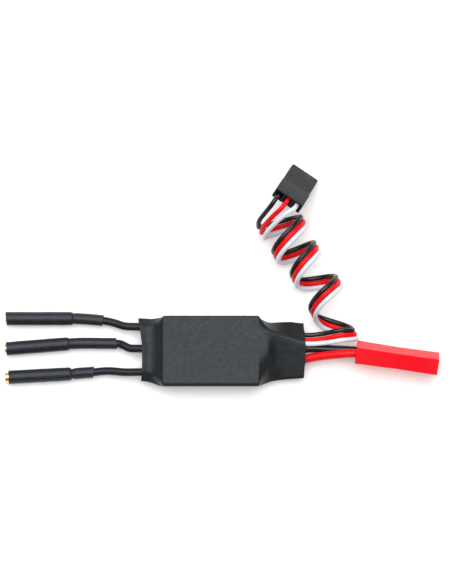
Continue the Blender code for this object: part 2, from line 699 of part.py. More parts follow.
def add_servo_plug(materials):
    """The black housing: a slightly wider wire end, three through cavities, three latch windows."""
    length, thickness = SERVO_PLUG_LENGTH, SERVO_PLUG_THICKNESS
    bm = bmesh.new()
    sections = (
        (0.0, SERVO_PLUG_REAR_WIDTH, thickness),
        (SERVO_PLUG_REAR_LENGTH, SERVO_PLUG_REAR_WIDTH, thickness),
        (SERVO_PLUG_REAR_LENGTH + 0.1, SERVO_PLUG_WIDTH, thickness - 0.1),
        (length - 0.3, SERVO_PLUG_WIDTH, thickness - 0.1),
        (length, SERVO_PLUG_WIDTH - 0.5, thickness - 0.5),
    )
    rings = []
    for along, width, height in sections:
        half_width, half_height = width / 2, height / 2
        outline = rounded_rectangle(-half_width, half_width, -half_height, half_height, 0.35, 2)
        rings.append([mm((x, along, z)) for x, z in outline])
    bridge_rings(bm, rings, closed=False)
    bmesh.ops.holes_fill(bm, edges=[edge for edge in bm.edges if edge.is_boundary], sides=0)
    housing = add_mesh("servo_plug_housing", bm, materials["plug_black"], SERVO_FRAME)
    for number, across in enumerate(SERVO_SLOTS.values()):
        slot = (SERVO_CAVITY[0], length + 4.0, SERVO_CAVITY[1])
        cut(housing, f"cut_cavity_{number}", slot, (across, length / 2, 0.0), SERVO_FRAME)
        window = (1.0, 2.4, 1.2)
        window_centre = (across, length - 5.2, -thickness / 2)
        cut(housing, f"cut_latch_{number}", window, window_centre, SERVO_FRAME)
        add_servo_contact(number + 1, across, materials)


def main():
    clear_scene()
    materials = make_materials()
    add_heat_shrink_sleeve(materials)
    add_circuit_board(materials)
    add_top_side(materials)
    add_bottom_side(materials)
    add_input_capacitor(materials)
    for number, lead in enumerate(MOTOR_LEADS):
        add_motor_lead(number + 1, lead, materials)
    for colour in BATTERY_ROUTES:
        add_battery_lead(colour, materials)
    add_power_plug(materials)
    add_servo_lead(materials)
    add_servo_plug(materials)


main()
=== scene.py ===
"""Looks of a small speed controller for a brushless motor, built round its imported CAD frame.

Everything is in the frame's own metres: origin in the middle of the underside of the shrunk body,
+X from the motor leads to the battery leads, +Y across the body, +Z up. Sizes are written in
millimetres and scaled by MM. Each sub-assembly is one class that shapes its pieces and dresses them.
"""

from __future__ import annotations

import logging
import math
from collections.abc import Callable, Iterable, Iterator, Sequence
from dataclasses import dataclass, field
from enum import Enum

import bmesh
import bpy
import numpy as np
from mathutils import Euler, Matrix, Vector, noise


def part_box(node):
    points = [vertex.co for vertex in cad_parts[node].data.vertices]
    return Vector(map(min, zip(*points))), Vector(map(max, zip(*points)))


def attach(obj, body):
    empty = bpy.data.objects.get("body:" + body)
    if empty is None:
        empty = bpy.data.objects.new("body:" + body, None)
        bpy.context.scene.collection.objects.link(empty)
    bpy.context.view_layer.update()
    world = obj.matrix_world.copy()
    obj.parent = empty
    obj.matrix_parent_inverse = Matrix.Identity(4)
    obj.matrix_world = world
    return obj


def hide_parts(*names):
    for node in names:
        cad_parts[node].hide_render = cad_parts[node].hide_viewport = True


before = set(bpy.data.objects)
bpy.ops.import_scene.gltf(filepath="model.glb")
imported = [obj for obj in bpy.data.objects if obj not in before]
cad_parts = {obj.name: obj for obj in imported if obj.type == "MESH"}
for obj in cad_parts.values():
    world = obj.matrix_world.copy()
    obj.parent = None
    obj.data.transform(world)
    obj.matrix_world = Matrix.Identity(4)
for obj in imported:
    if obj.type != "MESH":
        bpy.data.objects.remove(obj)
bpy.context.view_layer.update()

MM = 0.001
ROOT = "root"
SHARP_ANGLE = math.radians(38.0)
ROUNDED_ANGLE = math.radians(40.0)
WELD = 1e-7
STRANDS_RADIUS = 0.5

log = logging.getLogger("speed_controller")

Point = tuple[float, float, float]


# ---------------------------------------------------------------- finishes


class Nodes:
    """A short way to add and join the nodes of one material."""

    def __init__(self, name: str) -> None:
        """Starts an empty material with its shader and its object coordinates.

        Args:
            name: the material's name.
        """
        self.material = bpy.data.materials.new(name)
        self.material.use_nodes = True
        self.tree = self.material.node_tree
        self.shader = self.tree.nodes["Principled BSDF"]
        self.place = self.tree.nodes.new("ShaderNodeTexCoord").outputs["Object"]

    def add(self, kind: str, **values: object) -> bpy.types.Node:
        """Adds a node and sets its inputs, or links them where a value is a socket.

        Args:
            kind: the node's type.
            values: input names, with underscores for spaces.

        Returns:
            The new node.
        """
        node = self.tree.nodes.new(kind)
        for key, value in values.items():
            socket = node.inputs[key.replace("_", " ")]
            if isinstance(value, bpy.types.NodeSocket):
                self.tree.links.new(value, socket)
            else:
                socket.default_value = value
        return node

    def stretched(self, scale: Point) -> bpy.types.NodeSocket:
        """Object coordinates scaled by a Mapping node."""
        return self.add("ShaderNodeMapping", Vector=self.place, Scale=scale).outputs["Vector"]

    def noise(
        self, size: float, stretch: Point = (1.0, 1.0, 1.0), detail: float = 3.0, rough: float = 0.55
    ) -> bpy.types.NodeSocket:
        """A noise pattern.

        Args:
            size: size of its grains in millimetres.
            stretch: how much finer it is along each axis.
            detail: octaves.
            rough: how strong the fine octaves are.

        Returns:
            Its value socket.
        """
        node = self.add(
            "ShaderNodeTexNoise",
            Vector=self.stretched(stretch),
            Scale=1.0 / (size * MM),
            Detail=detail,
            Roughness=rough,
        )
        return node.outputs["Fac"]

    def ranged(
        self, value: bpy.types.NodeSocket, low: float, high: float, start: float = 0.3, end: float = 0.7
    ) -> bpy.types.NodeSocket:
        """The value mapped from start..end to low..high."""
        node = self.add("ShaderNodeMapRange", Value=value)
        for key, number in (("From Min", start), ("From Max", end), ("To Min", low), ("To Max", high)):
            node.inputs[key].default_value = number
        return node.outputs["Result"]

    def mixed(self, share: object, first: object, second: object) -> bpy.types.NodeSocket:
        """A colour between two, by share."""
        node = self.tree.nodes.new("ShaderNodeMix")
        node.data_type = "RGBA"
        for index, value in ((0, share), (6, first), (7, second)):
            if isinstance(value, bpy.types.NodeSocket):
                self.tree.links.new(value, node.inputs[index])
            else:
                node.inputs[index].default_value = value
        return node.outputs[2]

    def bumped(
        self, height: bpy.types.NodeSocket, depth: float, below: bpy.types.NodeSocket | None = None
    ) -> bpy.types.NodeSocket:
        """A bump of this depth in millimetres, on top of another one.

        Args:
            height: the pattern.
            depth: its height in millimetres.
            below: the normal it is laid on.

        Returns:
            The new normal.
        """
        node = self.add("ShaderNodeBump", Height=height, Strength=1.0, Distance=depth * MM)
        if below is not None:
            self.tree.links.new(below, node.inputs["Normal"])
        return node.outputs["Normal"]

    def join(self, socket: bpy.types.NodeSocket, name: str) -> None:
        """Links a socket to one of the shader's inputs."""
        self.tree.links.new(socket, self.shader.inputs[name])


@dataclass(frozen=True)
class Finish:
    """A moulded, drawn or plated surface: two near colours in soft patches, fine grain, and lighter ridges
    that stand partly for wear and partly for a painted highlight.
    """

    slot: str
    colour: Point
    patch_colour: Point
    roughness: tuple[float, float]
    metallic: float = 0.0
    patch_size: float = 2.2
    grain_size: float = 0.12
    grain_depth: float = 0.006
    stretch: Point = (1.0, 1.0, 1.0)
    wave_size: float = 1.1
    wave_depth: float = 0.0
    specular: float = 0.5
    # Lighter ridges, partly wear and partly a painted highlight on convex edges and creases: their strength
    # and colour.
    wear_and_highlight: float = 0.0
    wear_and_highlight_colour: Point = (0.6, 0.6, 0.6)
    subsurface: float = 0.0
    subsurface_depth: float = 0.6
    smudge_share: float = 0.45
    ridges: tuple[float, float] = (0.52, 0.6)

    def material(self) -> bpy.types.Material:
        """The finish's material, made once."""
        made = bpy.data.materials.get(f"{self.slot}_finish")
        return made or self.build()

    def build(self) -> bpy.types.Material:
        """Lays the finish out in nodes.

        Returns:
            The new material.
        """
        nodes = Nodes(f"{self.slot}_finish")
        patches = nodes.noise(self.patch_size, self.stretch)
        grain = nodes.noise(self.grain_size, self.stretch, detail=2.0)
        share = nodes.ranged(patches, 0.0, 1.0)
        colour = nodes.mixed(share, (*self.colour, 1.0), (*self.patch_colour, 1.0))
        # Convex ridges lightened: wear together with a painted highlight.
        if self.wear_and_highlight:
            colour = self.worn_and_highlighted(nodes, colour)
        nodes.join(colour, "Base Color")
        smudge = nodes.noise(self.patch_size * self.smudge_share, self.stretch, detail=4.0)
        nodes.join(nodes.ranged(smudge, *self.roughness), "Roughness")
        normal = nodes.bumped(grain, self.grain_depth)
        if self.wave_depth:
            normal = nodes.bumped(nodes.noise(self.wave_size, self.stretch), self.wave_depth, normal)
        nodes.join(normal, "Normal")
        nodes.shader.inputs["Metallic"].default_value = self.metallic
        nodes.shader.inputs["Specular IOR Level"].default_value = self.specular
        if self.subsurface:
            nodes.shader.inputs["Subsurface Weight"].default_value = self.subsurface
            nodes.shader.inputs["Subsurface Scale"].default_value = self.subsurface_depth * MM
        return nodes.material

    def worn_and_highlighted(self, nodes: Nodes, colour: bpy.types.NodeSocket) -> bpy.types.NodeSocket:
        """Lightens the convex ridges, partly as wear where the surface rubs and partly as a painted
        highlight on edges and creases.

        Args:
            nodes: the material in making.
            colour: the colour under the wear.

        Returns:
            The worn colour.
        """
        ridges = nodes.add("ShaderNodeNewGeometry").outputs["Pointiness"]
        # Pointiness picks the convex ridges, which are lightened for wear and as a painted highlight.
        rubbed_and_lit = nodes.ranged(ridges, 0.0, self.wear_and_highlight, *self.ridges)
        return nodes.mixed(rubbed_and_lit, colour, (*self.wear_and_highlight_colour, 1.0))


class Finishes:
    """All the finishes of the object, one per material slot of the record."""

    # The film's lighter ridges are mostly a painted highlight along its creases and the body's edges.
    shrink_film = Finish(
        "shrink_black", (0.0045, 0.0052, 0.006), (0.0075, 0.0085, 0.0095), (0.44, 0.56), patch_size=1.6,
        grain_size=0.2, grain_depth=0.012, stretch=(0.8, 1.0, 1.0), wave_size=0.8, wave_depth=0.045,
        specular=0.38, wear_and_highlight=0.1, wear_and_highlight_colour=(0.03, 0.034, 0.038),
    )
    silicone = Finish(
        "silicone_black", (0.006, 0.007, 0.0095), (0.009, 0.0105, 0.0135), (0.34, 0.46), patch_size=1.4,
        grain_size=0.1, grain_depth=0.005, wave_size=0.7, wave_depth=0.01, specular=0.28,
    )
    # The sleeves' lighter ridges are wear together with a painted highlight on their folds.
    shrink_tube = Finish(
        "sleeve_black", (0.008, 0.008, 0.0105), (0.022, 0.022, 0.027), (0.34, 0.5), patch_size=0.5,
        grain_size=0.14, grain_depth=0.012, stretch=(0.5, 1.0, 1.0), wave_size=0.5, wave_depth=0.022,
        specular=0.35, wear_and_highlight=0.35, wear_and_highlight_colour=(0.07, 0.07, 0.08),
    )
    wire_black = Finish("wire_black", (0.004, 0.004, 0.005), (0.007, 0.007, 0.008), (0.24, 0.36))
    wire_red = Finish(
        "wire_red", (0.86, 0.003, 0.006), (0.76, 0.002, 0.005), (0.36, 0.48), specular=0.2,
        subsurface=0.05,
    )
    wire_white = Finish(
        "wire_white", (0.76, 0.77, 0.79), (0.69, 0.7, 0.72), (0.3, 0.42), subsurface=0.1,
    )
    plug_red = Finish(
        "plug_red", (0.9, 0.003, 0.012), (0.84, 0.002, 0.01), (0.34, 0.46), patch_size=3.0, specular=0.14,
        grain_size=0.09, grain_depth=0.004, wave_size=2.0, wave_depth=0.02, subsurface=0.08,
        wear_and_highlight=0.2, wear_and_highlight_colour=(0.95, 0.12, 0.12),
    )
    plug_black = Finish(
        "plug_black", (0.01, 0.01, 0.0115), (0.014, 0.014, 0.016), (0.42, 0.54), patch_size=1.2,
        specular=0.3, grain_size=0.08, grain_depth=0.006, wear_and_highlight=0.3, wear_and_highlight_colour=(0.08, 0.08, 0.09),
    )
    gold = Finish(
        "gold_plate", (0.92, 0.62, 0.24), (0.82, 0.5, 0.17), (0.2, 0.34), metallic=1.0, patch_size=0.9,
        grain_size=0.06, grain_depth=0.003,
    )
    tin = Finish(
        "tin_plate", (0.76, 0.75, 0.72), (0.62, 0.61, 0.59), (0.26, 0.42), metallic=1.0, patch_size=0.6,
        grain_size=0.05, grain_depth=0.003, stretch=(0.3, 1.0, 1.0),
    )
    aluminium = Finish(
        "aluminium", (0.74, 0.75, 0.76), (0.64, 0.65, 0.67), (0.3, 0.45), metallic=1.0,
        grain_size=0.07, grain_depth=0.004, stretch=(0.15, 1.0, 1.0),
    )
    board = Finish(
        "board_green", (0.012, 0.10, 0.045), (0.02, 0.15, 0.06), (0.3, 0.42), patch_size=0.7,
        grain_size=0.12, grain_depth=0.004, wave_size=0.45, wave_depth=0.015,
    )
    chip = Finish(
        "chip_black", (0.022, 0.022, 0.024), (0.03, 0.03, 0.032), (0.5, 0.64), grain_size=0.07,
        grain_depth=0.006,
    )
    ceramic = Finish(
        "ceramic_tan", (0.48, 0.35, 0.22), (0.38, 0.27, 0.17), (0.4, 0.55), patch_size=0.4,
    )
    pad = Finish(
        "thermal_pad_grey", (0.42, 0.45, 0.49), (0.34, 0.37, 0.42), (0.7, 0.85), patch_size=0.8,
        grain_size=0.1, grain_depth=0.012,
    )


# ---------------------------------------------------------------- lines that leads follow


def millimetres(points: Iterable[Sequence[float]]) -> list[Vector]:
    """Points in millimetres as vectors in metres."""
    return [Vector(point) * MM for point in points]


class Route:
    """A smooth line through a few points, in metres."""

    PIECES = 16
    # First knot and width of each mix of neighbours, at each depth of the mixing.
    MIXES = (((0, 1), (1, 1), (2, 1)), ((0, 2), (1, 2)), ((1, 1),))

    def __init__(self, points: Sequence[Vector], tension: float = 0.0) -> None:
        """Runs a Catmull-Rom curve through the points.

        Args:
            points: the points, in metres.
            tension: power of the distance between points that sets each piece's share, 0 or 0.5.
        """
        ends = [2 * points[0] - points[1], *points, 2 * points[-1] - points[-2]]
        self.dense: list[Vector] = []
        for a, b, c, d in zip(ends, ends[1:], ends[2:], ends[3:]):
            knots = [0.0]
            for first, second in ((a, b), (b, c), (c, d)):
                knots.append(knots[-1] + (second - first).length ** tension)
            for piece in range(self.PIECES):
                t = knots[1] + (knots[2] - knots[1]) * piece / self.PIECES
                self.dense.append(self._between((a, b, c, d), knots, t))
        self.dense.append(points[-1].copy())
        steps = [(q - p).length for p, q in zip(self.dense, self.dense[1:])]
        self.distances = np.concatenate([[0.0], np.cumsum(steps)])
        self.array = np.array([tuple(point) for point in self.dense])

    @staticmethod
    def _between(corners: Sequence[Vector], knots: Sequence[float], t: float) -> Vector:
        """The curve's point at t, by repeated mixing of its four corners."""
        level = list(corners)
        for mixes in Route.MIXES:
            level = [
                level[i].lerp(level[i + 1], (t - knots[start]) / (knots[start + width] - knots[start]))
                for i, (start, width) in enumerate(mixes)
            ]
        return level[0]

    @property
    def length(self) -> float:
        """The line's length in metres."""
        return float(self.distances[-1])

    def at(self, distance: float) -> Vector:
        """The point this far along."""
        return Vector([float(np.interp(distance, self.distances, self.array[:, i])) for i in range(3)])

    def direction(self, distance: float) -> Vector:
        """The direction of the line this far along."""
        reach = 0.1 * MM
        return (self.at(distance + reach) - self.at(distance - reach)).normalized()

    def place(self, distance: float) -> Matrix:
        """A matrix with its local Z along the line."""
        turn = self.direction(distance).to_track_quat("Z", "Y").to_matrix().to_4x4()
        return Matrix.Translation(self.at(distance)) @ turn

    def part(self, start: float, length: float, count: int) -> list[Vector]:
        """The ends of this many equal steps along a part of the line."""
        return [self.at(start + length * i / count) for i in range(count + 1)]

    def evenly(self, spacing: float) -> list[Vector]:
        """Points this far apart along the whole line."""
        return self.part(0.0, self.length, max(2, math.ceil(self.length / spacing)))

    def cross(self, x: float) -> tuple[float, float]:
        """(y, z) where the line first passes this x, in metres."""
        past = np.nonzero(self.array[:, 0] >= x)[0]
        index = max(1, int(past[0])) if len(past) else len(self.array) - 1
        before, after = self.array[index - 1], self.array[index]
        share = (x - before[0]) / (after[0] - before[0])
        return tuple(float(before[i] + (after[i] - before[i]) * share) for i in (1, 2))


# ---------------------------------------------------------------- shapes


def show(obj: bpy.types.Object, finish: Finish, *replaced: str) -> bpy.types.Object:
    """Links a finished piece, lets it ride on the body and says what it stands for.

    Args:
        obj: the piece.
        finish: its finish.
        replaced: the CAD nodes that it replaces.

    Returns:
        The piece.
    """
    obj.data.materials.clear()
    obj.data.materials.append(finish.material())
    bpy.context.scene.collection.objects.link(obj)
    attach(obj, ROOT)
    if replaced:
        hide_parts(*replaced)
    log.info("%s stands for %s", obj.name, ", ".join(replaced) or "a detail")
    return obj


def mesh_piece(
    name: str, bm: bmesh.types.BMesh, finish: Finish, *replaced: str, place: Matrix | None = None
) -> bpy.types.Object:
    """Turns a bmesh into a shown piece with its place in its mesh.

    Args:
        name: the piece's name.
        bm: its shape, which is freed.
        finish: its finish.
        replaced: the CAD nodes that it replaces.
        place: the frame its shape is written in.

    Returns:
        The piece.
    """
    if place is not None:
        bm.transform(place)
    bmesh.ops.recalc_face_normals(bm, faces=bm.faces)
    if bm.calc_volume(signed=True) < 0.0:
        bmesh.ops.reverse_faces(bm, faces=bm.faces)
    mesh = bpy.data.meshes.new(name)
    bm.to_mesh(mesh)
    bm.free()
    mesh.shade_smooth()
    mesh.set_sharp_from_angle(angle=SHARP_ANGLE)
    return show(bpy.data.objects.new(name, mesh), finish, *replaced)


def wire_piece(
    name: str, points: Sequence[Vector], radius: float, finish: Finish, *replaced: str
) -> bpy.types.Object:
    """A round wire as a curve of one open spline.

    Args:
        name: the piece's name.
        points: its centreline in metres.
        radius: its radius in metres.
        finish: its finish.
        replaced: the CAD nodes that it replaces.

    Returns:
        The piece.
    """
    data = bpy.data.curves.new(name, "CURVE")
    data.dimensions = "3D"
    data.bevel_depth = radius
    data.bevel_resolution = 6
    data.use_fill_caps = True
    spline = data.splines.new("POLY")
    spline.points.add(len(points) - 1)
    for point, where in zip(spline.points, points):
        point.co = (*where, 1.0)
    spline.use_smooth = True
    return show(bpy.data.objects.new(name, data), finish, *replaced)


def wire_strands(name: str, route: Route, start: float, length: float) -> None:
    """The bared stretch of a wire, as one plain tinned round wire, from start, both in metres."""
    wire_piece(name, route.part(start, length, 8), STRANDS_RADIUS * MM, Finishes.tin)


def add_box(bm: bmesh.types.BMesh, size: Point, centre: Point) -> None:
    """Adds a cuboid given in millimetres."""
    verts = bmesh.ops.create_cube(bm, size=1.0)["verts"]
    bmesh.ops.scale(bm, vec=Vector(size) * MM, verts=verts)
    bmesh.ops.translate(bm, vec=Vector(centre) * MM, verts=verts)


def turned(bm: bmesh.types.BMesh, profile: Sequence[tuple[float, float]], steps: int = 48) -> None:
    """Spins a profile round local X.

    Args:
        bm: the mesh it goes in.
        profile: (distance along X, radius) points in millimetres.
        steps: faces round it.
    """
    verts = [bm.verts.new(Vector((along, 0.0, radius)) * MM) for along, radius in profile]
    edges = [bm.edges.new(pair) for pair in zip(verts, verts[1:])]
    bmesh.ops.spin(
        bm, geom=verts + edges, cent=(0, 0, 0), axis=(1, 0, 0), angle=2 * math.pi, steps=steps,
        use_merge=True,
    )
    bmesh.ops.remove_doubles(bm, verts=bm.verts, dist=WELD)


def tube_rings(bm: bmesh.types.BMesh, sides: int, count: int) -> Iterator[list]:
    """Grows an open tube ring by ring, each ring to be put in place before the next is asked for.

    Args:
        bm: the mesh it goes in, empty before.
        sides: vertices in a ring.
        count: how many rings.

    Yields:
        A ring's vertices, always in the same order round it. The first is a circle of radius 1.
    """
    ring = bmesh.ops.create_circle(bm, segments=sides, radius=1.0)["verts"]
    edges = bm.edges[:]
    yield ring
    for _ in range(count - 1):
        made = bmesh.ops.extrude_edge_only(bm, edges=edges)["geom"]
        edges = [g for g in made if isinstance(g, bmesh.types.BMEdge)]
        new = {g for g in made if isinstance(g, bmesh.types.BMVert)}
        ring = [next(e.other_vert(v) for e in v.link_edges if e.other_vert(v) in new) for v in ring]
        yield ring


def walled(bm: bmesh.types.BMesh, wall: float) -> None:
    """Gives an open tube its wall, in millimetres."""
    bmesh.ops.recalc_face_normals(bm, faces=bm.faces)
    bmesh.ops.solidify(bm, geom=bm.faces[:], thickness=wall * MM)


def split(bm: bmesh.types.BMesh, point: Point, normal: Point, geom: list | None = None) -> None:
    """Cuts new edges where a plane crosses the mesh, or only some of it, the point in millimetres."""
    bmesh.ops.bisect_plane(
        bm, geom=geom or bm.verts[:] + bm.edges[:] + bm.faces[:], dist=WELD,
        plane_co=Vector(point) * MM, plane_no=Vector(normal),
    )


def faces_where(
    bm: bmesh.types.BMesh, facing: Point, test: Callable[[Vector], bool]
) -> list[bmesh.types.BMFace]:
    """Faces that look this way and whose centre, in millimetres, passes the test."""
    bm.normal_update()
    way = Vector(facing)
    return [f for f in bm.faces if f.normal.dot(way) > 0.9 and test(f.calc_center_median() / MM)]


def sink(
    bm: bmesh.types.BMesh, faces: list[bmesh.types.BMFace], rim: float, depth: float
) -> list[bmesh.types.BMFace]:
    """Insets a region of faces and pushes it in along its own normal.

    Args:
        bm: the mesh.
        faces: the region.
        rim: width left round it, in millimetres.
        depth: how deep it goes, in millimetres.

    Returns:
        The faces at the bottom.
    """
    if rim:
        bmesh.ops.inset_region(bm, faces=faces, thickness=rim * MM, use_even_offset=True)
    push = -faces[0].normal.normalized() * depth * MM
    made = bmesh.ops.extrude_face_region(bm, geom=faces)["geom"]
    verts = [g for g in made if isinstance(g, bmesh.types.BMVert)]
    bmesh.ops.translate(bm, vec=push, verts=verts)
    floor = [g for g in made if isinstance(g, bmesh.types.BMFace)]
    bmesh.ops.delete(bm, geom=[f for f in faces if f.is_valid], context="FACES_ONLY")
    return floor


def open_between(bm: bmesh.types.BMesh, first: list, second: list) -> None:
    """Makes a window through a wall: both regions go, and their borders are bridged.

    Args:
        bm: the mesh.
        first: the faces on one side of the wall.
        second: the faces on its other side.
    """
    rims = []
    for region in (first, second):
        inside = set(region)
        rims += [
            edge for face in region for edge in face.edges
            if sum(linked in inside for linked in edge.link_faces) == 1
        ]
    bmesh.ops.delete(bm, geom=first + second, context="FACES_ONLY")
    bmesh.ops.bridge_loops(bm, edges=rims)


def square_pocket(
    bm: bmesh.types.BMesh, face: bmesh.types.BMFace, centre: Point, size: Point, depth: float
) -> None:
    """Insets a face to a flat rectangle and sinks it.

    Args:
        bm: the mesh.
        face: the face.
        centre: the rectangle's middle, in millimetres.
        size: the rectangle's sides in millimetres, 0 along the face's normal.
        depth: how deep it goes, in millimetres.
    """
    bmesh.ops.inset_region(bm, faces=[face], thickness=0.1 * MM)
    level = face.calc_center_median()
    for vert in face.verts:
        for axis, side in enumerate(size):
            away = vert.co[axis] - centre[axis] * MM
            place = (centre[axis] + math.copysign(side / 2, away)) * MM
            vert.co[axis] = place if side else level[axis]
    if depth:
        sink(bm, [face], 0.0, depth)


def rounded_edges(piece: bpy.types.Object, width: float) -> None:
    """Rounds a piece's sharp edges with a Bevel modifier, the width in millimetres."""
    modifier = piece.modifiers.new("rounded_edges", "BEVEL")
    modifier.width = width * MM
    modifier.segments = 3
    modifier.limit_method = "ANGLE"
    modifier.angle_limit = ROUNDED_ANGLE
    modifier.use_clamp_overlap = True


# ---------------------------------------------------------------- studio


@dataclass
class Studio:
    """A plain pale table, soft light from above and behind, and the camera."""

    look: Point = (3.6, 15.4, 0.0)
    distance: float = 900.0
    tilt: float = 7.0
    lens: float = 221.9
    floor_size: float = 3000.0
    floor_colour: Point = (0.98, 0.91, 0.86)
    sky: float = 0.2
    floor_glow: float = 0.16
    # The table's soft patches: their size in millimetres and how dark they are.
    floor_patches: tuple[float, float] = (60.0, 0.985)
    # Softboxes: where each hangs, its width and height in millimetres and its brightness, its tint.
    softboxes: tuple[tuple[str, Point, Point, Point], ...] = (
        ("overhead_box", (-50.0, 260.0, 1150.0), (1500.0, 1300.0, 3.75), (0.91, 0.995, 1.06)),
        ("back_wall", (0.0, 1300.0, 330.0), (1800.0, 600.0, 0.5), (1.0, 1.0, 1.0)),
    )

    def build(self) -> None:
        """Makes the camera, the floor and the lights."""
        self.add_camera()
        self.add_floor()
        self.add_light()

    def add_camera(self) -> None:
        """A long lens, nearly overhead."""
        data = bpy.data.cameras.new("camera")
        data.lens = self.lens
        data.sensor_width = 36.0
        data.clip_start = 0.05
        data.clip_end = 20.0
        camera = bpy.data.objects.new("camera", data)
        tilt = math.radians(self.tilt)
        away = Vector((0.0, -math.sin(tilt), math.cos(tilt))) * self.distance
        camera.location = (Vector(self.look) + away) * MM
        camera.rotation_euler = (tilt, 0.0, 0.0)
        bpy.context.scene.collection.objects.link(camera)
        bpy.context.scene.camera = camera

    def add_floor(self) -> None:
        """A matt white table."""
        bm = bmesh.new()
        bmesh.ops.create_grid(bm, x_segments=1, y_segments=1, size=self.floor_size / 2 * MM)
        mesh = bpy.data.meshes.new("table_top")
        bm.to_mesh(mesh)
        bm.free()
        nodes = Nodes("table_white")
        size, shade = self.floor_patches
        darker = tuple(part * shade for part in self.floor_colour)
        patches = nodes.ranged(nodes.noise(size), 0.0, 1.0)
        nodes.join(nodes.mixed(patches, (*self.floor_colour, 1.0), (*darker, 1.0)), "Base Color")
        nodes.shader.inputs["Roughness"].default_value = 0.8
        nodes.shader.inputs["Specular IOR Level"].default_value = 0.2
        nodes.shader.inputs["Emission Color"].default_value = (1.0, 1.0, 1.0, 1.0)
        nodes.shader.inputs["Emission Strength"].default_value = self.floor_glow
        mesh.materials.append(nodes.material)
        floor = bpy.data.objects.new("table_top", mesh)
        bpy.context.scene.collection.objects.link(floor)

    def add_light(self) -> None:
        """A dim even sky, a large softbox overhead and a lit wall behind."""
        scene = bpy.context.scene
        scene.view_settings.view_transform = "Standard"
        world = bpy.data.worlds.new("dim_room")
        world.use_nodes = True
        background = world.node_tree.nodes["Background"]
        background.inputs["Color"].default_value = (1.0, 1.0, 1.0, 1.0)
        background.inputs["Strength"].default_value = self.sky
        scene.world = world
        for name, place, (width, height, brightness), tint in self.softboxes:
            data = bpy.data.lights.new(name, "AREA")
            data.shape = "RECTANGLE"
            data.size, data.size_y = width * MM, height * MM
            data.energy = brightness * math.pi * data.size * data.size_y
            data.color = tint
            box = bpy.data.objects.new(name, data)
            box.location = Vector(place) * MM
            way = Vector(place) - Vector(self.look)
            box.rotation_euler = way.to_track_quat("Z", "Y").to_euler()
            scene.collection.objects.link(box)


# ---------------------------------------------------------------- servo lead and its plug


class Strand(Enum):
    """A strand of the servo lead, by its place across the flat lead."""

    BLACK = -1
    RED = 0
    WHITE = 1

    @property
    def word(self) -> str:
        """The strand's colour as CAD names it."""
        return self.name.lower()

    @property
    def finish(self) -> Finish:
        """The strand's insulation."""
        return getattr(Finishes, f"wire_{self.word}")


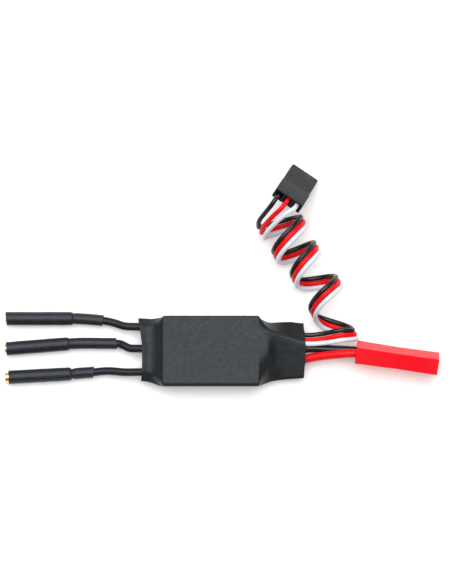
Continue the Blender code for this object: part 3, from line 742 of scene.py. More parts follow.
@dataclass
class ServoPlug:
    """The three-way plug, standing on its mating end and leaning on the coil."""

    length: float = 14.0
    width: float = 7.6
    rear_width: float = 7.9
    rear_length: float = 5.6
    step_length: float = 0.25
    thickness: float = 2.6
    front_thickness: float = 2.5
    corner: float = 0.55
    edge: float = 0.16
    pitch: float = 2.54
    wire_end: Point = (18.81, 36.73, 11.75)
    turn: Point = (-50.0, 7.7, -27.5)
    cavity: tuple[float, float] = (1.95, 1.75)
    cavity_depth: float = 3.4
    pin_hole: float = 0.95
    pin_hole_depth: float = 4.2
    # The flat that a pin hole is cut in, and the groove beside it: its sloping rim and its depth.
    flat: float = 1.5
    groove: tuple[float, float] = (0.25, 0.3)
    window: tuple[float, float] = (1.3, 3.4)
    window_at: float = 6.2
    window_depth: float = 0.85
    tongue: float = 0.75
    tongue_gap: float = 0.28
    tongue_share: float = 0.6

    @property
    def place(self) -> Matrix:
        """The plug's frame: X across, Y from the wires to the mating end, Z out of its plain face."""
        about_x, about_y, about_z = (math.radians(angle) for angle in self.turn)
        return Matrix.Translation(Vector(self.wire_end) * MM) @ (
            Matrix.Rotation(about_z, 4, "Z")
            @ Matrix.Rotation(about_x, 4, "X")
            @ Matrix.Rotation(about_y, 4, "Y")
        )

    def point(self, across: float, along: float, up: float) -> Vector:
        """A point of the plug's frame, given in millimetres, in metres of the object."""
        return self.place @ (Vector((across, along, up)) * MM)

    def build(self) -> bpy.types.Object:
        """Shapes and dresses the housing.

        Returns:
            The housing.
        """
        bm = bmesh.new()
        add_box(bm, (self.rear_width, self.length, self.thickness), (0.0, self.length / 2, 0.0))
        for along in (self.rear_length, self.rear_length + self.step_length):
            split(bm, (0.0, along, 0.0), (0.0, 1.0, 0.0))
        self._narrow_front(bm)
        self._round_front(bm)
        for side in (-1.5, -0.5, 0.5, 1.5):
            split(bm, (side * self.pitch, 0.0, 0.0), (1.0, 0.0, 0.0))
        self._open_cavities(bm)
        self._open_windows(bm)
        piece = mesh_piece(
            "servo_plug_shell", bm, Finishes.plug_black, "servo_plug_housing", place=self.place
        )
        rounded_edges(piece, self.edge)
        return piece

    def _narrow_front(self, bm: bmesh.types.BMesh) -> None:
        """Draws the front two thirds in a little, behind a small step."""
        front = [v for v in bm.verts if v.co.y > (self.rear_length + 0.1) * MM]
        share = (self.width / self.rear_width, 1.0, self.front_thickness / self.thickness)
        bmesh.ops.scale(bm, vec=share, verts=front)

    def _round_front(self, bm: bmesh.types.BMesh) -> None:
        """Rounds the two upright corners of the mating end."""
        corners = [
            e for e in bm.edges
            if all(v.co.y > (self.length - 0.01) * MM for v in e.verts)
            and abs(e.verts[0].co.x - e.verts[1].co.x) < 1e-7
        ]
        bmesh.ops.bevel(
            bm, geom=corners, offset=self.corner * MM, segments=4, profile=0.5, affect="EDGES",
            material=-1,
        )

    def _open_cavities(self, bm: bmesh.types.BMesh) -> None:
        """Sinks the wire cavities in the rear face and the pin holes in the front face."""
        wide, high = self.cavity
        for number in (-1, 0, 1):
            centre = number * self.pitch

            def near(middle: Vector, centre: float = centre) -> bool:
                return abs(middle.x - centre) < self.pitch / 2

            rear = faces_where(bm, (0, -1, 0), lambda m: near(m) and abs(m.y) < 0.01)
            square_pocket(bm, rear[0], (centre, 0.0, 0.0), (wide, 0.0, high), self.cavity_depth)
            front = faces_where(bm, (0, 1, 0), lambda m: near(m) and abs(m.y - self.length) < 0.01)
            self._groove_beside(bm, front[0], centre)
            hole = faces_where(
                bm, (0, 1, 0), lambda m: near(m) and m.y > self.length - 0.5 and abs(m.z) < 0.3
            )
            size = (self.pin_hole, 0.0, self.pin_hole)
            square_pocket(bm, hole[0], (centre, 0.0, 0.0), size, self.pin_hole_depth)

    def _groove_beside(self, bm: bmesh.types.BMesh, face: bmesh.types.BMFace, centre: float) -> None:
        """Marks out the flat for a pin hole, and a shallow groove along one side of it.

        Args:
            bm: the mesh.
            face: the mating end's face round the hole's place.
            centre: the hole's place across the plug, in millimetres.
        """
        rim, depth = self.groove
        square_pocket(bm, face, (centre, 0.0, 0.0), (self.flat, 0.0, self.flat), 0.0)
        strip = min(
            faces_where(bm, (0, 1, 0), lambda m: abs(m.x - centre) < 0.3 and m.y > self.length - 0.5),
            key=lambda face: face.calc_area(),
        )
        bmesh.ops.inset_region(bm, faces=[strip], thickness=rim * MM)
        bmesh.ops.translate(bm, vec=(0.0, -depth * MM, 0.0), verts=strip.verts)

    def _open_windows(self, bm: bmesh.types.BMesh) -> None:
        """Latch windows in the underside, each with a springy tongue standing in it."""
        wide, long = self.window
        middle = self.length - self.window_at
        for along in (middle - long / 2, middle + long / 2):
            split(bm, (0.0, along, 0.0), (0.0, 1.0, 0.0))
        for number in (-1, 0, 1):
            centre = number * self.pitch
            region = faces_where(
                bm, (0, 0, -1),
                lambda m: abs(m.x - centre) < self.pitch / 2 and abs(m.y - middle) < long / 2,
            )
            bmesh.ops.inset_region(bm, faces=region, thickness=0.02 * MM)
            for vert in {v for face in region for v in face.verts}:
                vert.co.x = (centre + math.copysign(wide / 2, vert.co.x - centre * MM)) * MM
            floor = sink(bm, region, 0.0, self.window_depth)
            bmesh.ops.inset_region(bm, faces=floor, thickness=self.tongue_gap * MM)
            tongue = bmesh.ops.extrude_face_region(bm, geom=floor)["geom"]
            verts = [g for g in tongue if isinstance(g, bmesh.types.BMVert)]
            rear, rise = self.tongue_share, 1.0 - self.tongue_share
            bmesh.ops.translate(bm, vec=(0.0, 0.0, -self.tongue * rear * MM), verts=verts)
            front = max(v.co.y for v in verts)
            for vert in verts:
                if front - vert.co.y < 0.1 * MM:
                    vert.co.z -= self.tongue * rise * MM
            bmesh.ops.delete(bm, geom=[f for f in floor if f.is_valid], context="FACES_ONLY")


@dataclass
class ServoLead:
    """The flat three-strand lead: out of the body, round an open coil and into its plug."""

    plug: ServoPlug = field(default_factory=ServoPlug)
    radius: float = 0.6
    pitch: float = 1.22
    mouth_x: float = 23.3
    axis_heading: float = 117.8
    # Turning points of the red strand, right and left by turns: along the coil, across it, height.
    turns: tuple[Point, ...] = (
        (-12.8, 33.5, 4.0), (-3.6, 26.7, 4.5), (0.8, 36.0, 5.5), (6.0, 26.5, 5.5),
        (10.9, 35.2, 5.5), (13.4, 25.2, 5.5), (18.1, 35.3, 5.5), (20.4, 24.85, 5.5),
    )
    last_swing: float = -3.0
    splay: float = 0.3
    rises: tuple[float, ...] = (3.5, 5.3, 4.8, 4.8, 4.8, 4.8, 4.8, 4.8)
    steps_per_half: int = 8
    spacing: float = 0.42
    near: dict[str, tuple[Point, ...]] = field(
        default_factory=lambda: {
            "black": (
                (8.6, 5.6, 1.5), (10.6, 5.55, 1.5), (12.4, 5.5, 1.55), (14.6, 5.4, 1.7),
                (17.0, 5.2, 2.4), (20.0, 4.75, 3.1), (23.3, 4.15, 3.55), (27.6, 4.4, 4.4),
                (32.0, 5.1, 6.0),
            ),
            "red": (
                (8.6, 4.1, 1.5), (10.6, 4.1, 1.5), (12.4, 4.1, 1.55), (14.6, 4.05, 1.75),
                (17.0, 3.85, 2.7), (20.0, 3.4, 3.6), (23.3, 2.8, 4.05), (27.6, 3.1, 4.7),
                (32.2, 3.85, 6.0),
            ),
            "white": (
                (8.6, 2.6, 1.5), (10.6, 2.65, 1.5), (12.4, 2.7, 1.55), (14.6, 2.75, 1.8),
                (17.0, 2.6, 3.0), (20.0, 2.3, 4.15), (23.3, 1.85, 4.8), (27.6, 1.98, 5.3),
                (32.6, 2.65, 5.9),
            ),
        }
    )
    far: dict[str, tuple[Point, ...]] = field(
        default_factory=lambda: {
            "black": ((11.8, 32.1, 8.3), (13.3, 33.8, 11.2), (14.8, 35.4, 13.2), (15.8, 36.8, 13.6)),
            "red": ((13.0, 30.7, 8.9), (15.2, 32.8, 12.0), (17.0, 34.3, 13.4), (18.1, 35.6, 13.4)),
            "white": ((13.9, 29.5, 8.7), (16.6, 31.9, 11.9), (18.9, 33.6, 13.2), (20.2, 34.4, 12.9)),
        }
    )

    def __post_init__(self) -> None:
        """Works out the routes of the three strands."""
        heading = math.radians(self.axis_heading)
        self.axis = Vector((math.cos(heading), math.sin(heading), 0.0))
        self.across = Vector((math.sin(heading), -math.cos(heading), 0.0))
        self.routes = {strand: self._route(strand) for strand in Strand}

    def _core(self, phase: float) -> Vector:
        """The red strand's place in the coil, in millimetres, at a phase counted in half turns."""
        last = len(self.turns) - 1
        index = min(max(int(phase), 0), last - 1)
        t = phase - index
        here, there = self.turns[index], self.turns[index + 1]
        before = self.turns[max(index - 1, 0)]
        start = (there[0] - before[0]) / 2
        end = (self.turns[index + 2][0] - here[0]) / 2 if index + 2 <= last else self.last_swing
        along = (
            (2 * t**3 - 3 * t**2 + 1) * here[0]
            + (t**3 - 2 * t**2 + t) * start
            + (3 * t**2 - 2 * t**3) * there[0]
            + (t**3 - t**2) * end
        )
        across = (here[1] + there[1]) / 2 + (here[1] - there[1]) / 2 * math.cos(math.pi * t)
        middle = here[2] + (there[2] - here[2]) * t
        rise = float(np.interp(phase - 0.5, range(len(self.rises)), self.rises))
        height = middle - rise * math.sin(math.pi * phase)
        return self.axis * along + self.across * across + Vector((0.0, 0.0, height))

    def _coil(self, strand: Strand) -> list[Vector]:
        """One strand's points round the coil, in millimetres.

        Args:
            strand: which strand.

        Returns:
            Points from the first right-hand turn to the last left-hand one.
        """
        halves = len(self.turns) - 1
        points = []
        for step in range(halves * self.steps_per_half + 1):
            phase = step / self.steps_per_half
            way = (self._core(phase + 0.02) - self._core(phase - 0.02)).normalized()
            side = (self.axis - self.axis.dot(way) * way).normalized()
            spread = self.pitch * (1.0 + self.splay * max(0.0, phase - halves + 1.0) ** 2)
            points.append(self._core(phase) - strand.value * spread * side)
        return points

    def _route(self, strand: Strand) -> Route:
        """The whole of a strand, from its pad on the board to its contact in the plug."""
        across = strand.value * self.plug.pitch
        coil = [point * MM for point in self._coil(strand)]
        return Route(
            [
                *millimetres(self.near[strand.word]),
                *coil,
                *millimetres(self.far[strand.word]),
                self.plug.point(across, 0.3, 0.0),
                self.plug.point(across, 3.2, 0.0),
            ],
            tension=0.5,
        )

    def build(self) -> None:
        """Makes the plug and the strands."""
        shell = self.plug.build()
        for strand, route in self.routes.items():
            replaced = [f"servo_wire_{strand.word}_near", f"servo_wire_{strand.word}_far"]
            if strand is Strand.BLACK:
                replaced.append("servo_coil")
            points = route.evenly(self.spacing * MM)
            name = f"servo_strand_{strand.word}"
            piece = wire_piece(name, points, self.radius * MM, strand.finish, *replaced)
            route.length


# ---------------------------------------------------------------- battery leads and their plug


@dataclass
class PowerPlug:
    """The red two-way plug, lying on its narrow edge and leaning over."""

    length: float = 20.55
    thickness: float = 4.2
    width: float = 7.4
    wire_end: Point = (35.92, -0.12, 4.205)
    heading: float = -8.3
    lean: float = 20.5
    pitch: float = 2.5
    shroud_depth: float = 9.2
    wall: float = 0.65
    cavity: float = 2.25
    cavity_depth: float = 6.0
    pin_hole: float = 1.5
    pin_hole_depth: float = 3.0
    edge: float = 0.2
    # The groove round the middle, how deep it is and how much slimmer the front half is.
    band: tuple[float, float] = (9.9, 10.5)
    band_depth: float = 0.16
    front_slimmer: float = 0.06
    window: tuple[float, float] = (3.2, 2.6)
    window_at: float = 5.0
    pin_radius: float = 0.55
    pin_length: float = 7.6
    barrel_radius: float = 0.95
    barrel_length: float = 4.6
    barrel_start: float = 3.1

    @property
    def place(self) -> Matrix:
        """The plug's frame: X from the wires to the mating end, Y through its thickness, Z up its width."""
        turn = Euler((math.radians(self.lean), 0.0, math.radians(self.heading)), "XYZ")
        return Matrix.Translation(Vector(self.wire_end) * MM) @ turn.to_matrix().to_4x4()

    def point(self, along: float, across: float, up: float) -> Vector:
        """A point of the plug's frame, given in millimetres, in metres of the object."""
        return self.place @ (Vector((along, across, up)) * MM)

    def build(self) -> None:
        """Shapes and dresses the housing and its two pins."""
        bm = bmesh.new()
        add_box(bm, (self.length, self.thickness, self.width), (self.length / 2, 0.0, 0.0))
        for along in self.band:
            split(bm, (along, 0.0, 0.0), (1.0, 0.0, 0.0))
        self._draw_in_band(bm)
        shroud_floor = self.length - self.shroud_depth
        mouth = faces_where(bm, (1, 0, 0), lambda m: m.x > self.length - 0.01)
        floor = sink(bm, mouth, self.wall, self.shroud_depth)
        rim = dict.fromkeys(part for face in floor for part in (*face.edges, *face.verts))
        split(bm, (0.0, 0.0, 0.0), (0.0, 0.0, 1.0), [*floor, *rim])
        split(bm, (0.0, 0.0, 0.0), (0.0, 0.0, 1.0))
        for side in (-1, 1):
            for facing, along, size, depth in (
                ((-1, 0, 0), 0.0, self.cavity, self.cavity_depth),
                ((1, 0, 0), shroud_floor, self.pin_hole, self.pin_hole_depth),
            ):
                region = faces_where(
                    bm, facing,
                    lambda m: m.z * side > 0.3 and abs(m.x - along) < 0.05 and abs(m.y) < 1.0,
                )
                centre = (0.0, 0.0, side * self.pitch / 2)
                square_pocket(bm, region[0], centre, (0.0, size, size), depth)
        self._open_window(bm)
        piece = mesh_piece(
            "power_plug_shell", bm, Finishes.plug_red, "power_plug_housing", place=self.place
        )
        rounded_edges(piece, self.edge)
        for number, side in enumerate((-1, 1)):
            self._build_pin(number + 1, side * self.pitch / 2)

    def _draw_in_band(self, bm: bmesh.types.BMesh) -> None:
        """A shallow groove round the middle, and the front half a little slimmer."""
        first, last = self.band
        for vert in bm.verts:
            along = vert.co.x / MM
            slim = self.front_slimmer if along > last else 0.0
            if first - 0.01 < along < last + 0.01:
                slim = self.band_depth
            vert.co.y -= math.copysign(slim * MM, vert.co.y)
            vert.co.z -= math.copysign(slim * MM, vert.co.z)

    def _open_window(self, bm: bmesh.types.BMesh) -> None:
        """Cuts the catch window through one broad wall of the shroud."""
        long, high = self.window
        middle = self.length - self.window_at
        for along in (middle - long / 2, middle + long / 2):
            split(bm, (along, 0.0, 0.0), (1.0, 0.0, 0.0))
        for up in (-high / 2, high / 2):
            split(bm, (0.0, 0.0, up), (0.0, 0.0, 1.0))

        def in_window(point: Vector) -> bool:
            return abs(point.x - middle) < long / 2 and abs(point.z) < high / 2 and point.y < 0.0

        outer = faces_where(bm, (0, -1, 0), in_window)
        inner = faces_where(bm, (0, 1, 0), in_window)
        open_between(bm, outer, inner)

    def _build_pin(self, number: int, height: float) -> None:
        """Turns one contact: crimp barrel, collar and round pin."""
        tip = self.barrel_length + self.pin_length
        bm = bmesh.new()
        profile = (
            (2.4, 0.0), (2.4, 0.72), (0.1, 0.72), (0.0, self.barrel_radius - 0.08),
            (0.1, self.barrel_radius), (1.9, self.barrel_radius), (2.1, self.barrel_radius - 0.12),
            (2.5, self.barrel_radius - 0.12), (2.7, self.barrel_radius),
            (self.barrel_length, self.barrel_radius), (self.barrel_length + 0.25, self.pin_radius + 0.05),
            (self.barrel_length + 0.4, self.pin_radius), (tip - 0.55, self.pin_radius),
            (tip - 0.2, self.pin_radius * 0.8), (tip, self.pin_radius * 0.45), (tip, 0.0),
        )
        turned(bm, profile, steps=32)
        place = self.place @ Matrix.Translation(Vector((self.barrel_start, 0.0, height)) * MM)
        node = f"power_plug_pin_{number}"
        mesh_piece(f"battery_pin_{number}", bm, Finishes.tin, node, place=place)


@dataclass
class BatteryLeads:
    """The red and the black battery wire, from the board to the plug's crimps."""

    plug: PowerPlug = field(default_factory=PowerPlug)
    radius: float = 1.06
    strip: float = 2.0
    strip_at_board: float = 2.9
    routes_in_body: dict[str, tuple[Point, ...]] = field(
        default_factory=lambda: {
            "black": (
                (8.2, -1.95, 3.85), (10.9, -2.3, 4.25), (13.2, -2.85, 3.9), (16.4, -2.2, 3.0),
                (19.6, -0.5, 2.85), (23.3, 0.8, 3.05),
            ),
            "red": (
                (8.2, -4.7, 3.85), (10.9, -4.9, 4.15), (13.2, -5.05, 3.3), (16.4, -4.5, 2.35),
                (19.6, -3.15, 2.4), (23.3, -1.75, 3.0),
            ),
        }
    )
    free: dict[str, tuple[Point, ...]] = field(
        default_factory=lambda: {
            "black": ((26.5, 0.85, 3.1), (30.0, 0.65, 3.05), (33.0, 0.5, 3.0)),
            "red": ((27.6, -1.1, 4.2), (31.6, -0.8, 5.2), (34.0, -0.65, 5.45)),
        }
    )

    def __post_init__(self) -> None:
        """Works out both routes."""
        self.routes = {colour: self._route(colour) for colour in self.free}

    def _route(self, colour: str) -> Route:
        """The wire from its pad on the board to the crimp."""
        height = self.plug.pitch / 2 * (1 if colour == "red" else -1)
        into_plug = [self.plug.point(along, 0.0, height) for along in (0.4, 2.2, 2.8 + self.strip)]
        return Route([*millimetres(self.routes_in_body[colour] + self.free[colour]), *into_plug])

    def build(self) -> None:
        """Makes the plug and both wires with their bared ends."""
        self.plug.build()
        for colour, route in self.routes.items():
            finish = getattr(Finishes, f"wire_{colour}")
            first, last = self.strip_at_board * MM, self.strip * MM
            span = route.length - first - last
            node = f"battery_lead_{colour}"
            inside = route.part(first, span, 120)
            wire_piece(f"battery_wire_{colour}", inside, self.radius * MM, finish, node)
            wire_strands(f"battery_strands_{colour}_board", route, 0.0, first)
            wire_strands(f"battery_strands_{colour}_plug", route, route.length - last, last)


# ---------------------------------------------------------------- motor leads


@dataclass
class MotorLead:
    """One motor lead: a silicone wire, a gold bullet socket and the shrunk sleeve over it."""

    number: int
    socket_front: Point
    sleeve_lead: float
    bend: Point
    neck: tuple[Point, Point]
    way: tuple[Point, ...]
    pad_y: float
    front_slant: float = 0.0
    neck_slant: float = 0.0
    groove: float = 0.0
    wire_radius: float = 1.0
    strip: float = 2.8
    socket_radius: float = 1.3
    bore_radius: float = 1.0
    socket_length: float = 13.0
    bore_depth: float = 8.5
    cup_radius: float = 0.85
    cup_depth: float = 3.5
    tube_radius: float = 1.68
    neck_radius: float = 1.4
    tube_wall: float = 0.23
    tube_sides: int = 40
    cut_reach: float = 2.0
    # How uneven the sleeve is: depth of its broad and its fine waves.
    uneven: tuple[float, float] = (0.035, 0.012)
    pad_x: float = -8.3
    rest: float = 4.25
    pad_z: float = 3.85
    mouth_x: float = -14.2

    def __post_init__(self) -> None:
        """Works out the wire's and the sleeve's lines."""
        self.front, self.knee = (Vector(point) * MM for point in (self.socket_front, self.bend))
        self.back = (self.knee - self.front).normalized()
        self.tube_length = (self.knee - self.front).length / MM + self.sleeve_lead
        start = self.front - self.back * self.sleeve_lead * MM
        neck = millimetres(self.neck)
        self.sleeve_route = Route([start, start.lerp(self.knee, 0.5), self.knee, *neck])
        cup_floor = self.front + self.back * (self.socket_length - self.cup_depth + 0.3) * MM
        ends = ((self.mouth_x, self.pad_y + 0.15, self.rest - 0.25),
                (self.pad_x - 2.6, self.pad_y, self.rest), (self.pad_x, self.pad_y, self.pad_z))
        self.wire_route = Route(
            [cup_floor, self.front + self.back * self.socket_length * MM, self.knee, *neck,
             *millimetres(self.way), *millimetres(ends)]
        )

    def build(self) -> None:
        """Makes the socket, the wire and the sleeve."""
        self._build_socket()
        self._build_wire()
        self._build_sleeve()

    def _build_wire(self) -> None:
        """The insulated wire and its bared ends."""
        route, first, last = self.wire_route, self.cup_depth * MM, self.strip * MM
        span = route.length - first - last
        name, node = f"motor_wire_{self.number}", f"motor_lead_{self.number}"
        inside = route.part(first, span, 110)
        wire_piece(name, inside, self.wire_radius * MM, Finishes.silicone, node)
        wire_strands(f"motor_strands_{self.number}_socket", route, 0.0, first)
        wire_strands(f"motor_strands_{self.number}_board", route, route.length - last, last)

    def _build_socket(self) -> None:
        """A turned socket: chamfered mouth, blind bore, solder cup with a small vent groove."""
        length, radius = self.socket_length, self.socket_radius
        cup = length - self.cup_depth
        bm = bmesh.new()
        profile = (
            (self.bore_depth + 0.3, 0.0), (self.bore_depth, self.bore_radius), (0.3, self.bore_radius),
            (0.03, self.bore_radius + 0.07), (0.0, self.bore_radius + 0.1), (0.03, radius - 0.04),
            (0.12, radius), (self.bore_depth + 0.2, radius), (self.bore_depth + 0.4, radius - 0.08),
            (self.bore_depth + 0.8, radius - 0.08), (self.bore_depth + 1.0, radius),
            (length - 0.05, radius), (length, radius - 0.06), (length, self.cup_radius + 0.05),
            (length - 0.1, self.cup_radius), (cup, self.cup_radius), (cup, 0.0),
        )
        turned(bm, profile)
        place = Matrix.Translation(self.front) @ self.back.to_track_quat("X", "Z").to_matrix().to_4x4()
        node = f"bullet_socket_{self.number}"
        mesh_piece(f"gold_socket_{self.number}", bm, Finishes.gold, node, place=place)

    def _radius(self, along: float) -> float:
        """The sleeve's outer radius this far from its front end, in millimetres."""
        tube, total = self.tube_length, self.sleeve_route.length / MM
        socket_end = self.sleeve_lead + self.socket_length
        knots = (
            (0.0, self.tube_radius + 0.03), (0.5, self.tube_radius), (socket_end - 0.2, self.tube_radius),
            (tube - 0.6, self.tube_radius - 0.02), (tube - 0.15, self.tube_radius - 0.1),
            (tube + 0.12, self.neck_radius - 0.03 - self.groove * 0.3),
            (tube + 0.4, self.neck_radius - 0.06 - self.groove * 0.25), (tube + 0.9, self.neck_radius),
            (total - 0.6, self.neck_radius - 0.02), (total, self.neck_radius + 0.05),
        )
        places, radii = zip(*knots)
        return float(np.interp(along, places, radii))

    def _build_sleeve(self) -> None:
        """Sweeps the shrunk sleeve, with its slanted cuts and small unevenness, as a thin tube."""
        total = self.sleeve_route.length / MM
        stations = [0.0, 0.08, 0.25]
        while stations[-1] < total - 0.25:
            near_knee = abs(stations[-1] - self.tube_length) < 1.6
            stations.append(min(stations[-1] + (0.16 if near_knee else 0.42), total))
        bm = bmesh.new()
        angles: list[float] = []
        for along, ring in zip(stations, tube_rings(bm, self.tube_sides, len(stations))):
            angles = angles or [math.atan2(vert.co.y, vert.co.x) for vert in ring]
            self._place_ring(ring, angles, along, total)
        walled(bm, self.tube_wall)
        name, node = f"socket_sleeve_{self.number}", f"bullet_sleeve_{self.number}"
        mesh_piece(name, bm, Finishes.shrink_tube, node)

    def _place_ring(self, ring: list, angles: list[float], along: float, total: float) -> None:
        """Puts one ring of the sleeve in place.

        Args:
            ring: its vertices.
            angles: their angles round the sleeve.
            along: its distance from the front end, in millimetres.
            total: the sleeve's whole length, in millimetres.
        """
        route = self.sleeve_route
        front = self.front_slant * max(0.0, 1.0 - along / self.cut_reach)
        rear = self.neck_slant * max(0.0, 1.0 - (total - along) / self.cut_reach)
        for vert, angle in zip(ring, angles):
            shifted = along + (front + rear) * math.cos(angle)
            place = route.place(max(0.0, min(shifted, total)) * MM)
            if shifted < 0.0 or shifted > total:
                over = shifted if shifted < 0.0 else shifted - total
                place = place @ Matrix.Translation((0.0, 0.0, over * MM))
            around = Vector((math.cos(angle), math.sin(angle), 0.0))
            seed = Vector((along * 0.45, self.number * 9.0, 0.0)) + around * 0.9
            uneven = self.uneven[0] * noise.noise(seed) + self.uneven[1] * noise.noise(seed * 3.7)
            vert.co = place @ (around * (self._radius(along) + uneven) * MM)


MOTOR_LEADS = (
    MotorLead(
        1, (-51.25, 8.5, 1.72), -0.08, (-34.6, 8.5, 1.72), ((-31.5, 8.4, 1.7), (-27.1, 8.0, 1.7)),
        ((-24.4, 7.42, 2.1), (-21.5, 6.5, 2.65), (-17.8, 6.25, 3.15)), 5.4, front_slant=-0.2,
        neck_slant=0.1,
    ),
    MotorLead(
        2, (-51.4, 0.93, 1.72), -0.35, (-35.5, 2.18, 1.72), ((-31.0, 2.32, 1.72), (-23.7, 2.24, 1.8)),
        ((-22.0, 1.75, 2.25), (-20.2, 0.95, 2.7), (-17.3, 0.8, 3.3)), 0.3, neck_slant=-0.1,
    ),
    MotorLead(
        3, (-51.25, -6.23, 1.72), -0.8, (-34.9, -5.33, 1.72), ((-32.4, -5.12, 1.7), (-29.4, -4.9, 1.7)),
        ((-25.6, -4.66, 2.1), (-21.5, -5.02, 2.65), (-17.3, -5.05, 3.3)), -5.3, neck_slant=0.2,
        groove=0.5,
    ),
)


# ---------------------------------------------------------------- shrunk body


@dataclass(frozen=True)
class EndCut:
    """The line that the film is cut along at one end, in millimetres.

    The film's sections move along X to it, the more the nearer they are to the end.
    """

    end: float
    start: float
    line: float
    slant: float
    bow: float
    ripple: float
    middle: float
    half: float

    def moved(self, x: float, y: float) -> float:
        """Where a section's point at x, y moves to along X."""
        across = (y - self.middle) / self.half
        bow = self.bow * max(0.0, 1.0 - across**2)
        cut = self.line + self.slant * across + bow + self.ripple * math.sin(y * 1.9)
        share = (x - self.start) / (self.end - self.start)
        return x + (cut - self.end) * max(0.0, min(1.0, share))


@dataclass
class ShrinkSleeve:
    """The shrunk film: tight and flat over the board stack, drawn in round the wires at both ends.

    Each section across the body is the tight outline round what the film holds there, so the film
    shows the board stack's edges, the capacitor and the wires under it.
    """

    motor_leads: Sequence[MotorLead]
    battery: BatteryLeads
    servo: ServoLead
    ends: tuple[float, float] = (-12.0, 11.75)
    body: tuple[float, float, float, float] = (-8.9, 8.7, 0.0, 7.0)
    # The body's rounded corners: y, z, radius.
    corners: tuple[Point, ...] = (
        (8.25, 6.55, 0.45), (8.25, 0.45, 0.45), (-8.0, 6.1, 0.9), (-7.75, 0.45, 0.45),
    )
    wall: float = 0.38
    gap: float = 0.1
    axis: tuple[float, float] = (0.2, 3.75)
    # How far past the body the film still rises to it, and how hard it is drawn in, left and right.
    draw_in: tuple[tuple[float, float], ...] = ((3.1, 1.7), (2.9, 2.0))
    # Side edges of the flattened film: x, lower y, upper y, height.
    left_edges: tuple[tuple[float, ...], ...] = (
        (-18.2, -7.3, 8.5, 3.4), (-16.3, -7.45, 8.35, 3.5), (-14.5, -7.8, 8.15, 3.5),
        (-12.9, -8.45, 8.4, 3.4),
    )
    right_edges: tuple[tuple[float, ...], ...] = (
        (12.6, -8.05, 7.85, 2.5), (13.4, -7.7, 7.35, 2.5), (15.0, -7.25, 7.4, 2.5),
        (16.8, -6.97, 7.5, 2.5), (20.0, -6.73, 7.6, 2.6), (23.4, -6.5, 7.1, 2.9),
    )
    # The film's own height over the motor wires: x, height of its top.
    crest: tuple[tuple[float, float], ...] = (
        (-14.6, 5.5), (-15.2, 5.38), (-16.3, 5.36), (-17.0, 5.15), (-17.9, 4.7),
    )
    crest_radius: float = 1.2
    crest_shift: float = 0.4
    # The fold from the capacitor's end to where the servo lead leaves: x, y, height of its top.
    crease: tuple[Point, ...] = (
        (12.6, 5.3, 7.0), (14.0, 5.05, 6.95), (14.9, 4.8, 6.85), (17.0, 4.0, 6.35), (19.0, 3.3, 6.0),
        (21.0, 2.6, 5.8), (23.4, 1.75, 5.65),
    )
    fold: float = 0.2
    edge_radius: float = 0.42
    left_cut: EndCut = EndCut(-17.8, -14.6, -17.85, -0.38, 0.56, 0.0, 0.57, 7.77)
    right_cut: EndCut = EndCut(23.2, 19.2, 23.0, 0.0, 0.5, 0.05, 0.25, 6.85)
    # Stretches along X: from, to, how far apart the sections lie.
    stretches: tuple[Point, ...] = (
        (-17.8, -13.2, 0.17), (-13.2, -10.6, 0.11), (-10.6, 10.6, 0.5), (10.6, 13.2, 0.11),
        (13.2, 23.21, 0.17),
    )
    upper_rays: int = 72
    side_rays: int = 30
    # Smoothing along X at the body's edges and in the collars, and where the second takes over.
    easing: tuple[float, float] = (0.2, 0.6)
    easing_from: float = 0.6
    # Smoothing across a collar's upper side, in rays, and how many rays it reaches to each side.
    bridging: float = 2.5
    bridging_reach: int = 6
    # Depth of the crumples and of the finer ones in the left and the right collar, and on the body.
    crumples: tuple[tuple[float, float], ...] = ((0.016, 0.006), (0.04, 0.016))
    body_crumple: float = 0.01
    # The rise behind the left mouth: its place, width and height.
    swell: Point = (-15.75, 0.85, 0.05)
    sag: float = 0.3
    chips: tuple[str, ...] = (
        "microcontroller", "voltage_regulator_1", "voltage_regulator_2", "sense_resistor",
        "ceramic_capacitor_1", "ceramic_capacitor_2", "ceramic_capacitor_3", "ceramic_capacitor_4",
    )

    def __post_init__(self) -> None:
        """Looks up the chips that the film lies on under the board."""
        self.chip_boxes = [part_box(node) for node in self.chips]

    def beyond(self, x: float) -> float:
        """How far a section lies past the body's nearer end, in millimetres."""
        return self.ends[0] - x if x < 0 else x - self.ends[1]

    def stations(self) -> np.ndarray:
        """Places along X of the sections, in millimetres, closer together where the film bends."""
        return np.concatenate([np.arange(*stretch) for stretch in self.stretches])

    def rays(self) -> np.ndarray:
        """Unit directions from the axis to points spread round the body's outline."""
        low_y, high_y, low_z, high_z = self.body
        top = [(y, high_z) for y in np.linspace(high_y, low_y, self.upper_rays)]
        left = [(low_y, z) for z in np.linspace(high_z, low_z, self.side_rays)[1:-1]]
        under = [(y, low_z) for y in np.linspace(low_y, high_y, self.upper_rays)]
        right = [(high_y, z) for z in np.linspace(low_z, high_z, self.side_rays)[1:-1]]
        aims = np.array(top + left + under + right) - np.array(self.axis)
        return aims / np.linalg.norm(aims, axis=1, keepdims=True)

    def discs(self, x: float) -> list[tuple[float, float, float]]:
        """What the film is drawn over at a section: (y, z, radius) discs in millimetres, film included.

        Args:
            x: the section's place, in millimetres.

        Returns:
            The discs.
        """
        cover = self.wall + self.gap
        found = []

        def wire(route: Route, radius: float) -> None:
            y, z = route.cross(x * MM)
            found.append((y / MM, z / MM, radius + cover))

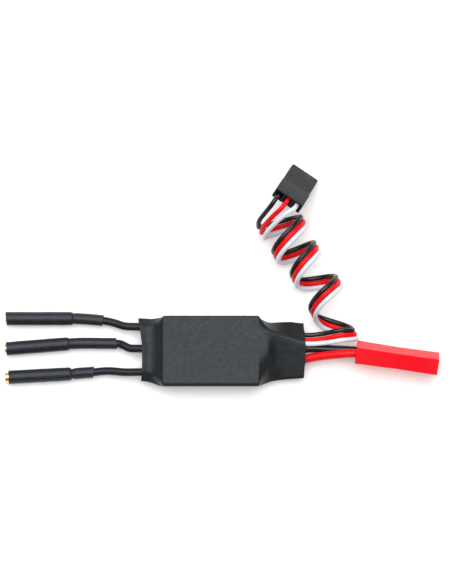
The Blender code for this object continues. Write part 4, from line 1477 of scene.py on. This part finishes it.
        edges = self.left_edges if x < 0 else self.right_edges
        table = np.array(edges)
        low, high, height = (float(np.interp(x, table[:, 0], table[:, i])) for i in (1, 2, 3))
        tip = self.edge_radius
        found += [(low + tip, height, tip), (high - tip, height, tip)]
        if x > 0:
            crease = np.array(self.crease)
            y, top = (float(np.interp(x, crease[:, 0], crease[:, i])) for i in (1, 2))
            found.append((y, top - self.fold, self.fold))
        if x < 0:
            crest = np.array(self.crest)
            top = float(np.interp(-x, -crest[:, 0], crest[:, 1]))
            for lead in self.motor_leads:
                wire(lead.wire_route, lead.wire_radius)
                found.append((lead.pad_y + self.crest_shift, top - self.crest_radius, self.crest_radius))
        else:
            for route in self.servo.routes.values():
                wire(route, self.servo.radius)
            for route in self.battery.routes.values():
                wire(route, self.battery.radius)
            found += self._capacitor(x, cover)
        return found

    def _capacitor(self, x: float, cover: float) -> list[tuple[float, float, float]]:
        """The input capacitor's section, as discs at its corners."""
        low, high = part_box("input_capacitor")
        middle, radius = (low[0] + high[0]) / 2 / MM, (high[0] - low[0]) / 2 / MM
        ahead = max(0.0, x - middle)
        if ahead >= radius:
            return []
        half = math.sqrt(radius**2 - ahead**2)
        centre = (low[2] + high[2]) / 2 / MM
        return [
            (y / MM + inward, centre + up * half, cover)
            for y, inward in ((low[1], self.fold), (high[1], -self.fold)) for up in (-1, 1)
        ]

    def outline(self, discs: Sequence[tuple[float, float, float]], rays: np.ndarray) -> np.ndarray:
        """How far the tight outline round some discs lies from the axis, along each ray.

        Args:
            discs: (y, z, radius) in millimetres.
            rays: unit directions.

        Returns:
            A distance for each ray, in millimetres.
        """
        angles = np.linspace(0.0, 2 * np.pi, 360, endpoint=False)
        normals = np.stack([np.cos(angles), np.sin(angles)], axis=1)
        centres = np.array([disc[:2] for disc in discs]) - np.array(self.axis)
        radii = np.array([disc[2] for disc in discs])
        support = (centres @ normals.T + radii[:, None]).max(axis=0)
        facing = rays @ normals.T
        reach = np.where(facing > 1e-3, support[None, :] / np.maximum(facing, 1e-3), np.inf)
        return reach.min(axis=1)

    def radii(self, xs: np.ndarray, rays: np.ndarray) -> np.ndarray:
        """The film's distance from the axis at each section and ray, in millimetres."""
        core = self.outline(self.corners, rays)
        rows = []
        for x in xs:
            beyond = self.beyond(float(x))
            if beyond <= 0:
                rows.append(core)
                continue
            held = self._bridged(self.outline(self.discs(float(x)), rays))
            reach, power = self.draw_in[0 if x < 0 else 1]
            share = max(0.0, 1.0 - beyond / reach) ** power
            rows.append(np.maximum(held, held + (core - held) * share))
        return self._eased(np.array(rows), xs)

    def _bridged(self, row: np.ndarray) -> np.ndarray:
        """Softens the ridges of a collar section's upper side, where the film spans its contents."""
        reach = self.bridging_reach
        weights = np.exp(-0.5 * (np.arange(-reach, reach + 1) / self.bridging) ** 2)
        upper = np.pad(row[: self.upper_rays], reach, mode="edge")
        softened = row.copy()
        softened[: self.upper_rays] = np.convolve(upper, weights / weights.sum(), mode="valid")
        return softened

    def _eased(self, rows: np.ndarray, xs: np.ndarray) -> np.ndarray:
        """Smooths the film along X, more in the collars than at the body's crisp edges."""
        eased = np.empty_like(rows)
        for index, x in enumerate(xs):
            spread = self.easing[0 if self.beyond(float(x)) < self.easing_from else 1]
            weights = np.exp(-0.5 * ((xs - x) / spread) ** 2) * np.gradient(xs)
            eased[index] = weights @ rows / weights.sum()
        return eased

    def relief(self, x: float, y: float, z: float) -> float:
        """How far the film stands out at a point, in millimetres: crumples, and a rise at the left.

        Args:
            x: place along the body.
            y: place across it.
            z: height.

        Returns:
            The distance outwards.
        """
        collar = min(1.0, max(0.0, (self.beyond(x) - 0.3) / 1.5))
        where = Vector((x, y, z))
        crumple = noise.noise(where * 0.55 + Vector((7.0, 0.0, 3.0)))
        fine = noise.noise(Vector((x * 0.8, y * 1.7, z * 1.7)))
        coarse_depth, fine_depth = self.crumples[0 if x < 0 else 1]
        loose = coarse_depth * crumple + fine_depth * fine
        out = collar * loose + (1.0 - collar) * self.body_crumple * crumple
        if x < 0 and z > self.axis[1] + 0.6:
            place, width, height = self.swell
            out += height * math.exp(-(((x - place) / width) ** 2))
        return out

    def hollow(self, x: float, y: float, z: float) -> float:
        """How far the film rises between the chips under the board, in millimetres."""
        if z > 1.0 or self.beyond(x) > -0.2 or abs(y) > self.body[1] - 0.6:
            return 0.0
        cover = 0.0
        for low, high in self.chip_boxes:
            reach = max(low[0] / MM - x, x - high[0] / MM, low[1] / MM - y, y - high[1] / MM)
            cover = max(cover, 1.0 - min(1.0, max(0.0, (reach - 0.25) / 1.1)))
        edge = min(1.0, -self.beyond(x) / 1.5, (self.body[1] - abs(y)) / 1.5)
        return self.sag * (1.0 - cover**2 * (3 - 2 * cover)) * max(0.0, edge)

    def build(self) -> None:
        """Makes the film as one skin and gives it its wall."""
        xs, rays = self.stations(), self.rays()
        bm = bmesh.new()
        rings = tube_rings(bm, len(rays), len(xs))
        for x, row, ring in zip(xs, self.radii(xs, rays), rings):
            self._place_ring(ring, float(x), rays, row)
        walled(bm, self.wall)
        mesh_piece("shrink_film", bm, Finishes.shrink_film, "heat_shrink_sleeve")

    def _place_ring(self, ring: list, x: float, rays: np.ndarray, row: np.ndarray) -> None:
        """Puts one section of the film in place.

        Args:
            ring: its vertices in order round the body.
            x: its place, in millimetres.
            rays: unit directions of its points.
            row: their distances from the axis, in millimetres.
        """
        cut = self.left_cut if x < 0 else self.right_cut
        for vert, ray, reach in zip(ring, rays, row):
            y, z = self.axis[0] + ray[0] * reach, self.axis[1] + ray[1] * reach
            reach += self.relief(x, y, z)
            y, z = self.axis[0] + ray[0] * reach, self.axis[1] + ray[1] * reach
            z += self.hollow(x, y, z)
            vert.co = Vector((cut.moved(x, y), y, max(z, 0.0))) * MM


# ---------------------------------------------------------------- electronics


@dataclass
class Electronics:
    """The board stack inside the film, dressed where the open collars and a cut would show it."""

    finishes: dict[str, Finish] = field(
        default_factory=lambda: {
            "circuit_board": Finishes.board,
            "mosfet": Finishes.chip,
            "thermal_pad": Finishes.pad,
            "heat_spreader_plate": Finishes.aluminium,
            "microcontroller": Finishes.chip,
            "voltage_regulator": Finishes.chip,
            "sense_resistor": Finishes.chip,
            "ceramic_capacitor": Finishes.ceramic,
            "input_capacitor_leg": Finishes.tin,
            "input_capacitor": Finishes.aluminium,
            "servo_contact": Finishes.tin,
        }
    )

    def build(self) -> None:
        """Gives every CAD node that stays its finish."""
        for name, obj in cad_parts.items():
            for prefix, finish in self.finishes.items():
                if name.startswith(prefix):
                    obj.data.materials.clear()
                    obj.data.materials.append(finish.material())
                    log.info("%s is dressed", name)
                    break


def main() -> None:
    """Builds the studio and then the object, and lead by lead."""
    Studio().build()
    servo, battery = ServoLead(), BatteryLeads()
    servo.build()
    battery.build()
    for lead in MOTOR_LEADS:
        lead.build()
    ShrinkSleeve(MOTOR_LEADS, battery, servo).build()
    Electronics().build()


if __name__ == "__main__":
    logging.basicConfig(level=logging.INFO, format="%(message)s")
    main()
